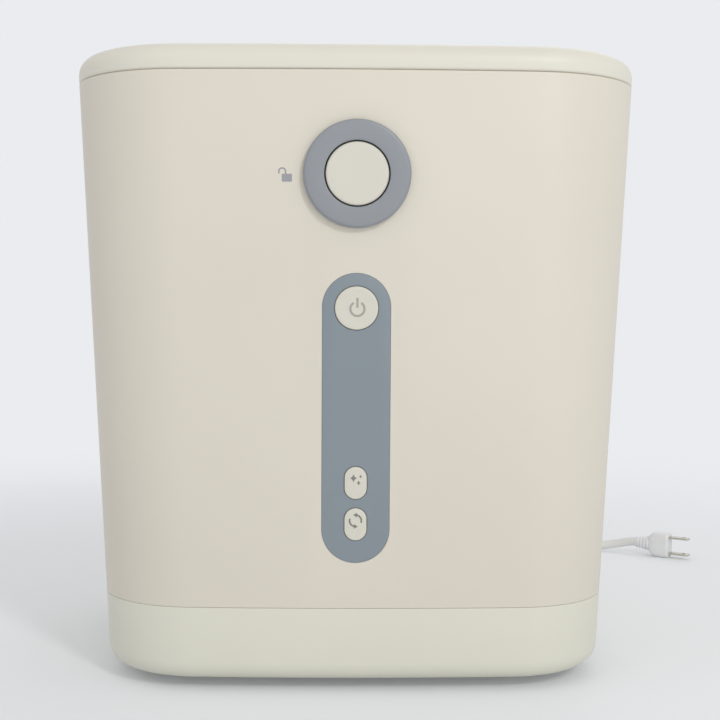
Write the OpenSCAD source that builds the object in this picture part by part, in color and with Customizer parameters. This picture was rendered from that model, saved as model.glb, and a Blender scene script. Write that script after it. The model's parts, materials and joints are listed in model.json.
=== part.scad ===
// Electric food waste composter for a kitchen worktop.
// Scraps go into a lift-out bucket. A heated well dries them, slow blades grind them, and a fan
// draws the steam off through a carbon cassette at the back.
// Millimetres. X runs to the right, Y to the back, Z up. The origin is on the worktop, under
// the middle of the machine.

/* [Housing] */
// Width at the lid seam
top_w = 303; // [292:1:316]
// Depth at the lid seam
top_d = 292; // [286:1:304]
// Width at the base seam
bottom_w = 277; // [268:1:288]
// Depth at the base seam
bottom_d = 266; // [262:1:278]
// Plan corner radius at the lid seam
top_r = 62; // [56:1:68]
// Plan corner radius at the base seam
bottom_r = 54; // [48:1:60]
// How far each wall bows out between its corners
bow = 2.2; // [1.2:0.1:3]
// Height of the base seam
base_seam = 45; // [42:1:48]
// Height of the lid seam
lid_seam = 318; // [314:1:328]
// Height of the lid above its seam
lid_h = 14; // [12:0.5:18]
// Radius of the lid's top edge
lid_edge_r = 10; // [6:0.5:11]
// Radius of the base's lower edge
base_edge_r = 10; // [6:0.5:14]
// Wall thickness of the housing
wall = 2.8; // [2.2:0.1:3.4]
// Visible gap at each seam
seam_gap = 0.9; // [0.6:0.1:1.4]

/* [Feet] */
// Height of the rubber feet
foot_h = 6; // [5:0.5:8]
// Radius of the rubber feet
foot_r = 9; // [7:0.5:11]

/* [Bucket and well] */
// Outer radius of the bucket below its rim
bucket_r = 88; // [84:0.5:89]
// Wall thickness of the bucket
bucket_t = 2.5; // [2:0.1:3]
// Depth of the bucket's rim below the lid seam
rim_drop = 40; // [38:1:60]
// How much narrower the bucket is at its bottom
bucket_draft = 2; // [1:0.5:4]
// Radial gap between the bucket and the well
well_gap = 4; // [3.6:0.1:4.5]
// Sheet thickness of the well
well_t = 1.5; // [1:0.1:2]
// Height of the well's inner floor
well_floor = 117; // [114:1:122]
// Thickness of the insulation sleeve
insulation_t = 6; // [4:0.5:6.5]

/* [Blades] */
// Reach of the sweeping arms
sweep_r = 80; // [60:1:81]
// Reach of the upper arms
upper_r = 64; // [40:1:70]
// Thickness of the arms
arm_t = 5; // [4:0.5:7]
// How far the fixed blades stand in from the bucket's wall
fixed_reach = 27; // [15:1:32]

/* [Drive] */
// Module of the first gear pair
mod_1 = 0.9; // [0.8:0.05:0.95]
// Module of the second gear pair
mod_2 = 1.0; // [0.9:0.05:1.05]
// Module of the third gear pair
mod_3 = 1.2; // [1.1:0.05:1.25]
// Teeth of each small gear
pinion_teeth = 15; // [15:1:16]
// Teeth of each large gear
wheel_teeth = 45; // [42:1:46]
// Play between meshed teeth
backlash = 0.2; // [0.15:0.01:0.3]
// Radius of the drive shaft
shaft_r = 5; // [4.5:0.1:5.5]
// Radius of the motor's can
motor_r = 21; // [18:0.5:22]
// Length of the motor's can
motor_l = 56; // [45:1:60]

/* [Release] */
// Outer radius of the grey ring
ring_r = 27; // [24:0.5:30]
// How far the ring stands out
ring_proud = 4.5; // [3:0.5:6]
// Distance of the ring's centre below the lid seam
ring_drop = 51.5; // [49:0.5:54]
// Radius of the release disc
disc_r = 15.85; // [14:0.05:16.5]
// Gap round the release disc
disc_gap = 0.65; // [0.4:0.05:0.8]
// Travel of the release disc
release_travel = 3; // [2:0.1:3.5]

/* [Controls] */
// Width of the grey control strip
strip_w = 34.8; // [33:0.2:38]
// Length of the control strip
strip_l = 148.3; // [144:0.1:150]
// Height of the strip's centre above the base seam
strip_rise = 98; // [94:1:102]
// Radius of the power button
power_r = 11; // [9:0.1:12]
// Width of the two small buttons
key_w = 11.4; // [10:0.1:13]
// Height of the two small buttons
key_h = 16.7; // [14:0.1:18]
// Distance of the power button's centre from the strip's top
power_in = 17.6; // [16:0.1:20]
// Distance of the speed button's centre from the strip's foot
speed_in = 20.1; // [18:0.1:22]
// Distance between the two small buttons
key_pitch = 21.4; // [20.5:0.1:24]
// How far the buttons stand out
button_proud = 0.9; // [0.5:0.1:1.5]
// Travel of the buttons
button_travel = 1.0; // [0.6:0.1:1.2]
// Gap round the buttons
button_gap = 0.3; // [0.2:0.05:0.5]

/* [Hinge] */
// Radius of the hinge pin
hinge_pin_r = 2; // [1.8:0.1:2.4]
// Radius of the hinge knuckles
knuckle_r = 5.5; // [5:0.1:6]
// Distance of the hinge axis behind the back wall
hinge_out = 7; // [6.5:0.1:8]

/* [Filter] */
// Width of the filter bay's opening
bay_w = 116; // [90:1:118]
// Height of the filter bay's opening
bay_h = 90; // [70:1:94]
// Distance of the bay's centre below the lid seam
bay_drop = 115; // [112:1:120]
// Air space in front of the cassette
plenum = 7.8; // [6:0.1:10]

/* [Fan] */
// Height of the fan's housing
fan_h = 28; // [26:0.5:32]
// Distance of the fan's top below the lid seam
fan_drop = 74; // [70:1:80]
// Gap on each side of the fan's housing
fan_gap = 1.6; // [1.2:0.1:3]

/* [Fit] */
// Running clearance of pins and shafts
running = 0.06; // [0.03:0.01:0.09]
// Clearance between assembled pieces
fit = 0.15; // [0.1:0.01:0.2]

/* [Cord] */
// Diameter of the mains cord
cord_d = 7; // [6.6:0.1:7.2]

/* [Hidden] */

// Facets of curves that become exact surfaces
$fn = 64;
// Steps along each wall and round each corner of the housing's plan
side_n = 6;
corner_n = 12;

// Housing
top_z = lid_seam + lid_h;
ring_z = lid_seam - ring_drop;
strip_z = base_seam + strip_rise;
bay_z = lid_seam - bay_drop;
lean = atan((top_d - bottom_d)/2/(lid_seam - base_seam));
rear_reach = top_d/2 + hinge_out + knuckle_r;
front_reach = half_d(ring_z) + ring_proud*cos(lean) + ring_r*sin(lean);
mid_y = (front_reach - rear_reach)/2;
edge = 0.6;
lid_low = lid_seam + seam_gap/2;
casing_top = lid_seam - seam_gap/2;
casing_low = base_seam + seam_gap/2;
base_rim = base_seam - seam_gap/2;
floor_z = foot_h + 3;
foot_recess = 1;
tongue_t = 1.8;
tongue_h = 5.5;

// Deck and well
deck_t = 2.5;
deck_drop = 5.5;
deck_top = casing_top - deck_drop;
deck_low = deck_top - deck_t;
well_r = bucket_r + well_gap;
well_out_r = well_r + well_t;
well_low = well_floor - well_t;
well_top = deck_low;
flange_r = well_out_r + 10;
insulation_gap = 0.3;
insulation_r = well_out_r + insulation_gap + insulation_t;
window_w = 36;
window_z = [deck_low - 18.5, deck_low - 4.5];
post_r = 5;

// Bucket
bucket_rim = lid_seam - rim_drop;
bucket_low = well_floor + 2;
bucket_floor = bucket_low + bucket_t;
bucket_in_r = bucket_r - bucket_t;
rim_r = bucket_r + 3;
hub_r = 16;
hub_top = bucket_floor + 17;
bush_t = 1.2;
bail_r = bucket_r - 4.5;
wire_r = 2.5;
grip_r = 5;
bail_z = bucket_rim + grip_r + 0.2;
eye_r = 4.5;
eye_x = [bail_r - 1.3, bail_r + 2.9];
lug_x = [eye_x[1] + 0.5, eye_x[1] + 3.2];
head_x = [bail_r - wire_r - 1.4, bail_r - wire_r - 0.4];
bail_pin_r = 2;

// Gears: the output turns on the bucket's axis, and the train folds away to the left
pitch_d = pinion_teeth + wheel_teeth;
dist_1 = mod_1*pitch_d/2;
dist_2 = mod_2*pitch_d/2;
dist_3 = mod_3*pitch_d/2;
dir_3 = 211;
dir_2 = 150;
dir_1 = 60;
idler_2 = dist_3*[cos(dir_3), sin(dir_3)];
idler_1 = idler_2 + dist_2*[cos(dir_2), sin(dir_2)];
motor_at = idler_1 + dist_1*[cos(dir_1), sin(dir_1)];
box_low = 74.5;
box_floor = box_low + 2.5;
box_top = box_floor + 23;
cover_t = 2.5;
level_1 = [box_top - 6, box_top - 1];
level_2 = [box_top - 13, box_top - 7];
level_3 = [box_floor + 1, box_floor + 9];
axle_r = 2;
motor_shaft_r = 1.5;
bush_r = shaft_r + 3;
boss_r = 11;
phase_3 = mesh_phase(dir_3, 0, wheel_teeth, pinion_teeth);
phase_2 = mesh_phase(dir_2, phase_3, wheel_teeth, pinion_teeth);
phase_1 = mesh_phase(dir_1, phase_2, wheel_teeth, pinion_teeth);

// Coupling between the drive shaft and the rotor
dog_r = shaft_r + 2;
dog_gap = 0.6;
dog_z = [well_floor + 1.5, well_floor + 12];
socket_r = 12;
socket_z = [well_floor + 4.5, well_floor + 16];

// Release and latch, in the leaning frame of the front wall
disc_top = ring_proud - 0.6;
bore_r = disc_r + disc_gap;
spigot_r = bore_r + 3;
spigot_l = 8;
spigot_floor = 2;
disc_low = release_travel + 2 - spigot_l;
stem_r = 4;
stem_l = 18.8;
stem_tip_r = 1.5;
clip_gap = 0.15;
spring_r = 7;
lever_in = 24;
lever_y = front_y(ring_z) + lever_in;
lever_z = ring_z + 17.5;
lever_x = 6;
latch_pin_r = 1.5;
nose_gap = 0.8;
catch_y = [lever_y + 5.4, lever_y + 7.4];
catch_x = 9;
cheek_x = 11;
cheek_t = 2.5;

// Controls, in the same leaning frame
power_z = strip_z + (strip_l/2 - power_in)*cos(lean);
speed_z = strip_z - (strip_l/2 - speed_in)*cos(lean);
clean_z = speed_z + key_pitch;
plate_t = 4.6;
strip_flange = 3;
strip_flange_t = 1.2;
strip_seat = 0.5;
board_depth = 14;
board_t = 1.6;
board_w = 36;
switch_w = 6;
switch_h = 3.5;
plunger_l = 4.4;

// Hinge
hinge_y = rear_y(lid_seam) + hinge_out;
hinge_z = lid_seam + 0.1;
knuckle_in = 8;
knuckle_mid = 25;
knuckle_end = 50;
knuckle_gap = 0.4;
casing_arm_t = 9;

// Filter bay, in the leaning frame of the back wall
bay_t = 2;
bay_gap = 1.2;
bay_foot = rear_y(bay_z - bay_h/2 - bay_t);
bay_depth = bay_foot - wall - insulation_r - bay_gap;
cassette_d = bay_depth - bay_t - plenum + wall;
cassette_gap = 0.6;
face_t = 2.5;
louvre_n = 9;
louvre_pitch = 6.5;

// Fan, in the rear left corner between the insulation and the housing
fan_z = [lid_seam - fan_drop - fan_h, lid_seam - fan_drop];
corner_in = corner_at(fan_z[0], -1, 1, corner_r(fan_z[0]) - wall);
duct_a = atan2(corner_in[1], corner_in[0]);
fan_r = (norm(corner_in) - insulation_r)/2 - fan_gap;
fan_at = (insulation_r + fan_gap + fan_r)*[cos(duct_a), sin(duct_a)];
fan_t = 1.8;
fan_port = [bay_floor_y(0) + 1, bay_floor_y(0) + 1 + plenum + 5];
impeller_r = fan_r - 7;
inlet_r = 16;
duct_t = 2;
duct_w = window_w + 2*duct_t;
pipe_r = inlet_r + 3;
duct_end = norm(fan_at) + pipe_r + 1.5;

// Cord: where it leaves, where its coil lies and where its plug lies
gland_x = -45;
gland_z = 22;
gland_l = 30;
cord_r = cord_d/2;
coil_at = [75, 198];
coil_turn_r = 45.5;
coil_turns = 2.5;
coil_lift = 0.8;
coil_in = coil_turn_r - coil_turns*cord_d - cord_r;
coil_out = coil_turn_r + cord_r;
plug_dir = -35;
plug_at = [246, 243.2, 10];
plug_l = 16;
plug_h = 20;
plug_t = 12;
plug_boot_l = 12;
blade_gap = 12.7;
lead_out = [[-45, 124, 22.2], [-45, 142, 21.3], [-45, 159.6, 20.5], [-45, 168, 19.5],
    [-45, 181, 15.5], [-44, 194, 9.5],
    [-41, 208, 5.5], [-33, 221, 4.2], [-21, 232, 4], [-6, 240, 4], [12, 243.5, 4],
    [30, 243.5, 4], [50, 243.5, 4.2], [75, 243.5, 4.3]];
lead_back = [[75, 243.5, 11.3], [90, 243.8, 11], [105, 245.2, 8.6], [120, 247.7, 5.6],
    [135, 250.5, 4], [150, 253.3, 3.6], [165, 256.1, 3.6], [180, 258.9, 3.6], [190, 260.8, 3.7],
    [199.9, 262.4, 4], [207.7, 262.6, 4.6], [215.4, 261.3, 5.7], [222.8, 258.6, 7.2],
    [229.6, 254.7, 9], [233.71, 251.8, 9.9], [236.17, 250.08, 10]];

// Where the housing's plan lies at height z, as a share of the way up the casing
function level(z) = (z - base_seam)/(lid_seam - base_seam);
function between(low, high, z) = low + (high - low)*level(z);
function half_w(z) = between(bottom_w, top_w, z)/2;
function half_d(z) = between(bottom_d, top_d, z)/2;
function corner_r(z) = between(bottom_r, top_r, z);
// How far the back wall has curved forward at a distance x from its middle, at the base
function bow_drop(x) =
    let (r = wall_r(half_w(base_seam) - bow - bottom_r, bottom_r)) r - sqrt(r*r - x*x);
function front_y(z) = mid_y - half_d(z);
function rear_y(z) = mid_y + half_d(z);

function arc(c, r, a0, a1, n) =
    [for (i = [0:n]) let (a = a0 + (a1 - a0)*i/n) c + r*[cos(a), sin(a)]];
// Inner face of the bay's floor at a height dz above the bay's centre
function bay_floor_y(dz) = rear_y(bay_z + dz) - wall - bay_depth + bay_t;
function inner(list) = [for (i = [1:len(list) - 2]) list[i]];

// A rounded rectangle whose four walls are shallow arcs, tangent to its corners
function wall_r(c, r) = (c*c + bow*bow + 2*bow*r)/(2*bow);
function plan(z, inset) =
    let (a = half_w(z) - inset, b = half_d(z) - inset, r = corner_r(z) - inset,
        cx = a - bow - r, cy = b - bow - r,
        rx = wall_r(cy, r), ry = wall_r(cx, r),
        tx = asin(cy/(rx - r)), ty = asin(cx/(ry - r)))
    concat(
        inner(arc([a - rx, 0], rx, -tx, tx, side_n)), arc([cx, cy], r, tx, 90 - ty, corner_n),
        inner(arc([0, b - ry], ry, 90 - ty, 90 + ty, side_n)),
        arc([-cx, cy], r, 90 + ty, 180 - tx, corner_n),
        inner(arc([rx - a, 0], rx, 180 - tx, 180 + tx, side_n)),
        arc([-cx, -cy], r, 180 + tx, 270 - ty, corner_n),
        inner(arc([0, ry - b], ry, 270 - ty, 270 + ty, side_n)),
        arc([cx, -cy], r, 270 + ty, 360 - tx, corner_n));
function ring_at(z, inset) = [for (p = plan(z, inset)) [p[0], p[1] + mid_y, z]];

// Centre of a plan corner at height z, and a place on its diagonal
function corner_at(z, sx, sy, along) =
    [sx*(half_w(z) - bow - corner_r(z) + along*cos(45)),
     mid_y + sy*(half_d(z) - bow - corner_r(z) + along*cos(45))];

// Involute gear outline with three points on each flank
function involute(a) = tan(a)*180/PI - a;
function tooth_half(m, n, r) =
    let (pitch = m*n/2, base = pitch*cos(20))
    90/n + involute(20) - involute(acos(min(1, base/r))) - backlash/(4*pitch)*180/PI;
function gear_points(m, n) =
    let (pitch = m*n/2, radii = [pitch - 1.2*m, pitch, pitch + 0.85*m])
    [for (tooth = [0:n - 1], k = [-3:2])
        let (r = radii[k < 0 ? k + 3 : 2 - k], side = k < 0 ? -1 : 1,
            a = tooth*360/n + side*tooth_half(m, n, r))
        r*[cos(a), sin(a)]];
// Turn of the gear that lies in direction dir from a gear turned by phase, so that they mesh
function mesh_phase(dir, phase, n, n_next) = dir + 180 + 180/n_next - (phase - dir)*n/n_next;

module ring_faces(points, rings, n, closed) {
    last = rings - 1;
    sides = [for (k = [0:closed ? last : last - 1], i = [0:n - 1], half = [0, 1])
        let (a = k*n, b = ((k + 1) % rings)*n, j = (i + 1) % n)
        half == 0 ? [a + i, b + i, b + j] : [a + i, b + j, a + j]];
    caps = closed ? [] : [[for (i = [0:n - 1]) i], [for (i = [n - 1:-1:0]) last*n + i]];
    polyhedron(points, concat(sides, caps));
}

// A solid through a stack of rings, capped at both ends
module loft(rings) {
    ring_faces([for (ring = rings, p = ring) p], len(rings), len(rings[0]), false);
}

// A hollow wall: the rings go up outside and come down inside
module shell(rings) {
    ring_faces([for (ring = rings, p = ring) p], len(rings), len(rings[0]), true);
}

// Frames of the leaning walls: X along the wall, Y up the wall, Z outwards
module on_front(z) { translate([0, front_y(z), z]) rotate([90 + lean, 0, 0]) children(); }
module on_rear(z) { translate([0, rear_y(z), z]) rotate([90 + lean, 0, 180]) children(); }
module up_front(z, from) { translate([0, (z - from)/cos(lean), 0]) children(); }

module rod(r, z) { translate([0, 0, z[0]]) cylinder(r = r, h = z[1] - z[0]); }
module tube(r_out, r_in, z) {
    difference() {
        rod(r_out, z);
        rod(r_in, [z[0] - 1, z[1] + 1]);
    }
}
module slab(size, z) {
    translate([-size[0]/2, -size[1]/2, z[0]]) cube([size[0], size[1], z[1] - z[0]]);
}
module stadium(w, h, z) {
    translate([0, 0, z[0]]) linear_extrude(z[1] - z[0]) stadium_plan(w, h);
}
module stadium_plan(w, h) {
    square([w, h - w], center = true);
    for (s = [-1, 1]) translate([0, s*(h - w)/2]) circle(d = w);
}
module rod_x(r, x, y, z) {
    translate([x[0], y, z]) rotate([0, 90, 0]) cylinder(r = r, h = x[1] - x[0]);
}
module corners(z, along) {
    for (sx = [-1, 1], sy = [-1, 1]) {
        at = corner_at(z, sx, sy, along);
        translate([at[0], at[1], 0]) rotate(atan2(sy, sx)) children();
    }
}

// Housing -----------------------------------------------------------------------------------

base_post_along = 30;
board_at = [24, -72];
board_size = [86, 66];
board_low = 17;
board_in = 6;
post_z = casing_low + 7;
gusset_l = bottom_r - base_post_along - 0.8;
foot_along = 6;
vent_n = 3;
vent_pitch = 8;
vent_w = 3;
vent_l = 44;
vent_in = 60;

module board_holes() {
    for (x = [board_in, board_size[0] - board_in], y = [board_in, board_size[1] - board_in]) {
        translate([board_at[0] + x, board_at[1] + y, 0]) children();
    }
}

module base_pan() {
    inside = wall + fit + tongue_t;
    color("antiquewhite") difference() {
        union() {
            loft(concat(
                [for (a = [0:22.5:90]) ring_at(foot_h + base_edge_r*(1 - cos(a)),
                    base_edge_r*(1 - sin(a)))],
                [ring_at(base_rim - edge, 0), ring_at(base_rim, edge),
                 ring_at(base_rim, wall + fit), ring_at(base_rim + tongue_h, wall + fit),
                 ring_at(base_rim + tongue_h, inside), ring_at(base_rim - 2, inside),
                 ring_at(base_rim - 5, wall), ring_at(floor_z + 6, wall),
                 ring_at(floor_z, wall + 5)]));
            corners(base_seam, base_post_along) {
                rod(post_r, [floor_z - 1, post_z]);
            }
            board_holes() rod(3, [floor_z - 1, board_low]);
        }
        corners(base_seam, base_post_along) {
            rod(2.1, [0, post_z + 1]);
            rod(4.2, [0, floor_z + 2]);
        }
        corners(base_seam, foot_along) rod(foot_r + fit, [0, foot_h + foot_recess]);
        translate([gland_x, 0, 0]) on_rear(gland_z) rod(6.6, [-12, 5]);
        for (i = [-vent_n:vent_n]) {
            translate([i*vent_pitch, mid_y - vent_in, 0]) stadium(vent_w, vent_l, [0, floor_z + 1]);
        }
    }
}

module feet() {
    color("dimgray") corners(base_seam, foot_along) {
        rod(foot_r, [0.8, foot_h + foot_recess]);
        rod(foot_r - 0.8, [0, 0.8]);
    }
}

top_post_along = 54.5;
deck_screw_z = 20;

module outer_casing() {
    color("wheat") difference() {
        union() {
            shell([ring_at(casing_low, edge), ring_at(casing_low + edge, 0),
                ring_at(casing_top - edge, 0), ring_at(casing_top, edge),
                ring_at(casing_top, wall), ring_at(casing_low, wall)]);
            corners(base_seam, base_post_along) {
                rod(post_r, [post_z, post_z + 28]);
                translate([0, -1.2, post_z]) cube([gusset_l, 2.4, 24]);
            }
            corners(deck_low, top_post_along) rod(post_r, [deck_low - 30, deck_low]);
            casing_knuckles();
        }
        corners(base_seam, base_post_along) rod(1.5, [post_z - 1, post_z + 22]);
        corners(deck_low, top_post_along) rod(1.5, [deck_low - deck_screw_z, deck_low + 1]);
        on_front(ring_z) rod(spigot_r + fit, [-20, 10]);
        on_front(strip_z) stadium(strip_w + 2*fit, strip_l + 2*fit, [-20, 10]);
        on_rear(bay_z) slab([bay_w + 2*fit, bay_h + 2*fit], [-12, 10]);
        rod_x(hinge_pin_r + 0.02, [-knuckle_end - 1, knuckle_end + 1], hinge_y, hinge_z);
    }
}

module casing_knuckles() {
    for (s = [-1, 1]) {
        mirror([s < 0 ? 1 : 0, 0, 0]) {
            rod_x(knuckle_r, [knuckle_mid, knuckle_end], hinge_y, hinge_z);
            translate([knuckle_mid, 0, 0]) rotate([90, 0, 90])
                linear_extrude(knuckle_end - knuckle_mid)
                polygon([[hinge_y, hinge_z - knuckle_r + 0.4],
                    [hinge_y, hinge_z - 2], [rear_y(lid_seam) - 1.5, hinge_z - 2],
                    [rear_y(lid_seam) - 1.5, hinge_z - casing_arm_t - 12],
                    [rear_y(lid_seam) + 0.5, hinge_z - casing_arm_t - 8]]);
        }
    }
}

// Deck, well and heat -----------------------------------------------------------------------

catch_slot = [2*catch_x + 5, 7];
switch_at = [46, front_y(lid_seam) + 29.6];

module top_deck() {
    color("dimgray") difference() {
        union() {
            loft([ring_at(deck_low, wall + fit), ring_at(deck_top, wall + fit)]);
            tube(well_r + 3.5, well_r + 0.5, [deck_low + 1, deck_top + 1.4]);
        }
        rod(well_r + 0.5, [deck_low - 5, deck_top + 5]);
        translate([0, (catch_y[0] + catch_y[1])/2 - 0.5, 0])
            slab(catch_slot, [deck_low - 1, deck_top + 1]);
        translate([switch_at[0], switch_at[1], 0]) rod(3.5, [deck_low - 1, deck_top + 1]);
        corners(deck_low, top_post_along) rod(2.1, [deck_low - 1, deck_top + 1]);
    }
}

module well() {
    color("silver") difference() {
        rotate_extrude($fn = 96) polygon([[12, well_low], [well_out_r - 5, well_low],
            [well_out_r - 1.5, well_low + 1.5], [well_out_r, well_low + 5],
            [well_out_r, well_top - well_t], [flange_r, well_top - well_t],
            [flange_r, well_top], [well_r, well_top], [well_r, well_low + 5.4],
            [well_r - 1.2, well_low + 2.6], [well_r - 4, well_floor], [12, well_floor]]);
        rotate(duct_a) translate([well_r - 5, -window_w/2, window_z[0]])
            cube([15, window_w, window_z[1] - window_z[0]]);
    }
}

module insulation_sleeve() {
    color("gainsboro") difference() {
        tube(insulation_r, well_out_r + insulation_gap, [well_low + 7, window_z[0] - 4]);
        rotate(duct_a) translate([well_r - 5, -duct_w/2 - 1, window_z[0] - 5])
            cube([30, duct_w + 2, 40]);
    }
}

module heating_ring() {
    plate_r = [52, 70];
    element_r = 61;
    bolt_r = 66;
    color("darkgray") difference() {
        union() {
            tube(plate_r[1], plate_r[0], [well_low - 4, well_low]);
            translate([0, 0, well_low - 4.5]) rotate_extrude(angle = 330)
                translate([element_r, 0]) circle(r = 3.3, $fn = 32);
        }
        for (a = [30:120:270]) rotate(a) translate([bolt_r, 0, 0]) rod(1.6, [90, well_low + 1]);
    }
    color("white") for (a = [-1, 331]) rotate(a) translate([element_r, 0, 0])
        rod(2.4, [well_low - 15, well_low - 6]);
}

module thermal_cutout() {
    color("gray") translate([36, 0, 0]) {
        rod(7, [well_low - 5, well_low]);
        for (s = [-1, 1]) translate([0, s*3.5, 0]) slab([0.8, 4], [well_low - 12, well_low - 5]);
    }
}

// Gearbox and motor -------------------------------------------------------------------------

housing_spots = [[0, 0, mod_3*wheel_teeth/2 + 4], [idler_2[0], idler_2[1], mod_2*wheel_teeth/2 + 4],
    [idler_1[0], idler_1[1], mod_1*wheel_teeth/2 + 4], [motor_at[0], motor_at[1], 14]];
standoff_spots = [[45, 10], [-6, -46], [-20, 42], [-81, -25]];

module gearbox_plan(grow, z) {
    hull() for (s = housing_spots) {
        translate([s[0], s[1], z[0]]) cylinder(r = s[2] + grow, h = z[1] - z[0], $fn = 32);
    }
}
module gearbox_ears(z) {
    for (s = standoff_spots) translate([s[0], s[1], 0]) {
        rod(5, z);
        rotate(atan2(-s[1], -40 - s[0])) translate([0, -4, z[0]]) cube([20, 8, z[1] - z[0]]);
    }
}

module gearbox_housing() {
    color("slategray") difference() {
        gearbox_plan(2, [box_low, box_top]);
        gearbox_plan(0, [box_floor, box_top + 1]);
        rod(bush_r, [box_low - 1, box_floor + 1]);
        translate(motor_at) rod(4.2, [box_low - 1, box_floor + 1]);
        for (at = [idler_1, idler_2]) translate(at) rod(axle_r, [box_low - 1, box_floor + 1]);
    }
}

module gearbox_cover() {
    color("lightslategray") difference() {
        union() {
            gearbox_plan(2, [box_top, box_top + cover_t]);
            gearbox_ears([box_top, box_top + cover_t]);
        }
        rod(bush_r, [box_top - 1, box_top + cover_t + 1]);
        for (at = [idler_1, idler_2]) translate(at) {
            rod(axle_r, [box_top - 1, box_top + cover_t + 1]);
        }
        for (s = standoff_spots) translate([s[0], s[1], 0]) {
            rod(1.6, [box_top - 1, box_top + cover_t + 1]);
        }
    }
}

module gearbox_standoffs() {
    color("silver") for (s = standoff_spots) translate([s[0], s[1], 0]) {
        rod(3.5, [box_top + cover_t, well_low]);
    }
}

module idler_axles() {
    color("silver") for (at = [idler_1, idler_2]) translate(at) {
        rod(axle_r, [box_low, box_top + cover_t]);
    }
}

module drive_bushes() {
    color("goldenrod") {
        tube(bush_r, shaft_r + running, [box_low, box_floor + 0.8]);
        tube(bush_r, shaft_r + running, [box_top - 0.8, box_top + cover_t + 1]);
    }
}

module gear(m, n, phase, z, bore) {
    rotate(phase) difference() {
        translate([0, 0, z[0]]) linear_extrude(z[1] - z[0]) polygon(gear_points(m, n));
        rod(bore, [z[0] - 1, z[1] + 1]);
    }
}
module wheel_with_pinion(m_wheel, wheel_z, m_pinion, pinion_z, phase) {
    low = min(wheel_z[0], pinion_z[0]);
    high = max(wheel_z[1], pinion_z[1]);
    difference() {
        rotate(phase) union() {
            translate([0, 0, wheel_z[0]]) linear_extrude(wheel_z[1] - wheel_z[0])
                polygon(gear_points(m_wheel, wheel_teeth));
            translate([0, 0, low]) linear_extrude(high - low)
                polygon(gear_points(m_pinion, pinion_teeth));
        }
        rod(axle_r + running, [low - 1, high + 1]);
        for (a = [0:72:288]) rotate(a) translate([m_wheel*wheel_teeth/2*0.62, 0, 0])
            rod(m_wheel*3.6, [wheel_z[0] - 1, wheel_z[1] + 1]);
    }
}

module motor() {
    color("dimgray") translate(motor_at) difference() {
        union() {
            rod(motor_r, [box_low - 2 - motor_l, box_low - 2]);
            rod(motor_r - 3, [box_low - 4 - motor_l, box_low - 1 - motor_l]);
            rod(4, [box_low - 2.5, box_floor]);
            rod(motor_r - 6, [box_low - 3, box_low]);
            for (s = [-1, 1]) translate([s*9, 0, 0])
                slab([1, 5], [box_low - 9 - motor_l, box_low - 3 - motor_l]);
        }
        rod(motor_shaft_r + running, [box_low - 12, box_floor + 1]);
    }
}

module motor_pinion() {
    color("gold") translate(motor_at) union() {
        gear(mod_1, pinion_teeth, phase_1, level_1, 0.5);
        rod(motor_shaft_r, [box_low - 11, level_1[1]]);
        rod(4, [level_1[0] - 3, level_1[0]]);
    }
}

module idler_gear_1() {
    color("ivory") translate(idler_1)
        wheel_with_pinion(mod_1, level_1, mod_2, [level_2[0], level_1[0]], phase_2);
}

module idler_gear_2() {
    color("ivory") translate(idler_2)
        wheel_with_pinion(mod_2, level_2, mod_3, [level_3[0], level_2[0]], phase_3);
}

module output_gear() {
    color("lightsteelblue") difference() {
        union() {
            gear(mod_3, wheel_teeth, 0, level_3, shaft_r);
            tube(boss_r, shaft_r, [level_3[0], box_top - 8]);
        }
        for (a = [0:60:300]) rotate(a) translate([17.5, 0, 0])
            rod(4, [level_3[0] - 1, level_3[1] + 1]);
    }
}

module drive_shaft() {
    color("silver") {
        rod(shaft_r, [box_low - 2, dog_z[0]]);
        rotate(30) translate([0, 0, dog_z[0]]) cylinder(r = dog_r, h = dog_z[1] - dog_z[0], $fn = 6);
    }
}

module shaft_seal() {
    color("black") {
        tube(12, shaft_r + 0.3, [well_low - 2, well_floor]);
        tube(8, shaft_r + 0.3, [well_floor, well_floor + 1]);
    }
}

// Bucket and blades -------------------------------------------------------------------------

module bucket_inside() {
    rotate_extrude($fn = 96) polygon([[0, bucket_floor],
        [bucket_in_r - bucket_draft - 6, bucket_floor],
        [bucket_in_r - bucket_draft - 1.8, bucket_floor + 1.8],
        [bucket_in_r - bucket_draft, bucket_floor + 6], [bucket_in_r, bucket_rim],
        [0, bucket_rim]]);
}

module bucket() {
    low_r = bucket_r - bucket_draft;
    color("darkslategray") rotate_extrude($fn = 96) polygon(concat(
        [[shaft_r + running + bush_t, hub_top - bucket_t], [hub_r, hub_top - bucket_t],
         [hub_r, bucket_low]],
        arc([low_r - 7, bucket_low + 7], 7, -90, 0, 4),
        [[bucket_r, bucket_rim - 2.5], [rim_r, bucket_rim - 2.5],
         [rim_r, bucket_rim - 0.6], [rim_r - 0.6, bucket_rim], [bucket_in_r, bucket_rim],
         [bucket_in_r - bucket_draft, bucket_floor + 6],
         [bucket_in_r - bucket_draft - 1.8, bucket_floor + 1.8],
         [bucket_in_r - bucket_draft - 6, bucket_floor],
         [hub_r + bucket_t, bucket_floor], [hub_r + bucket_t, hub_top],
         [shaft_r + running + bush_t, hub_top]]));
}

module bucket_bush() {
    color("goldenrod") {
        tube(shaft_r + running + bush_t, shaft_r + running, [hub_top - bucket_t - 1, hub_top]);
        tube(shaft_r + running + bush_t + 2, shaft_r + running, [hub_top, hub_top + 1]);
    }
}

fixed_z = [bucket_floor + 25, bucket_floor + 29];

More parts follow.
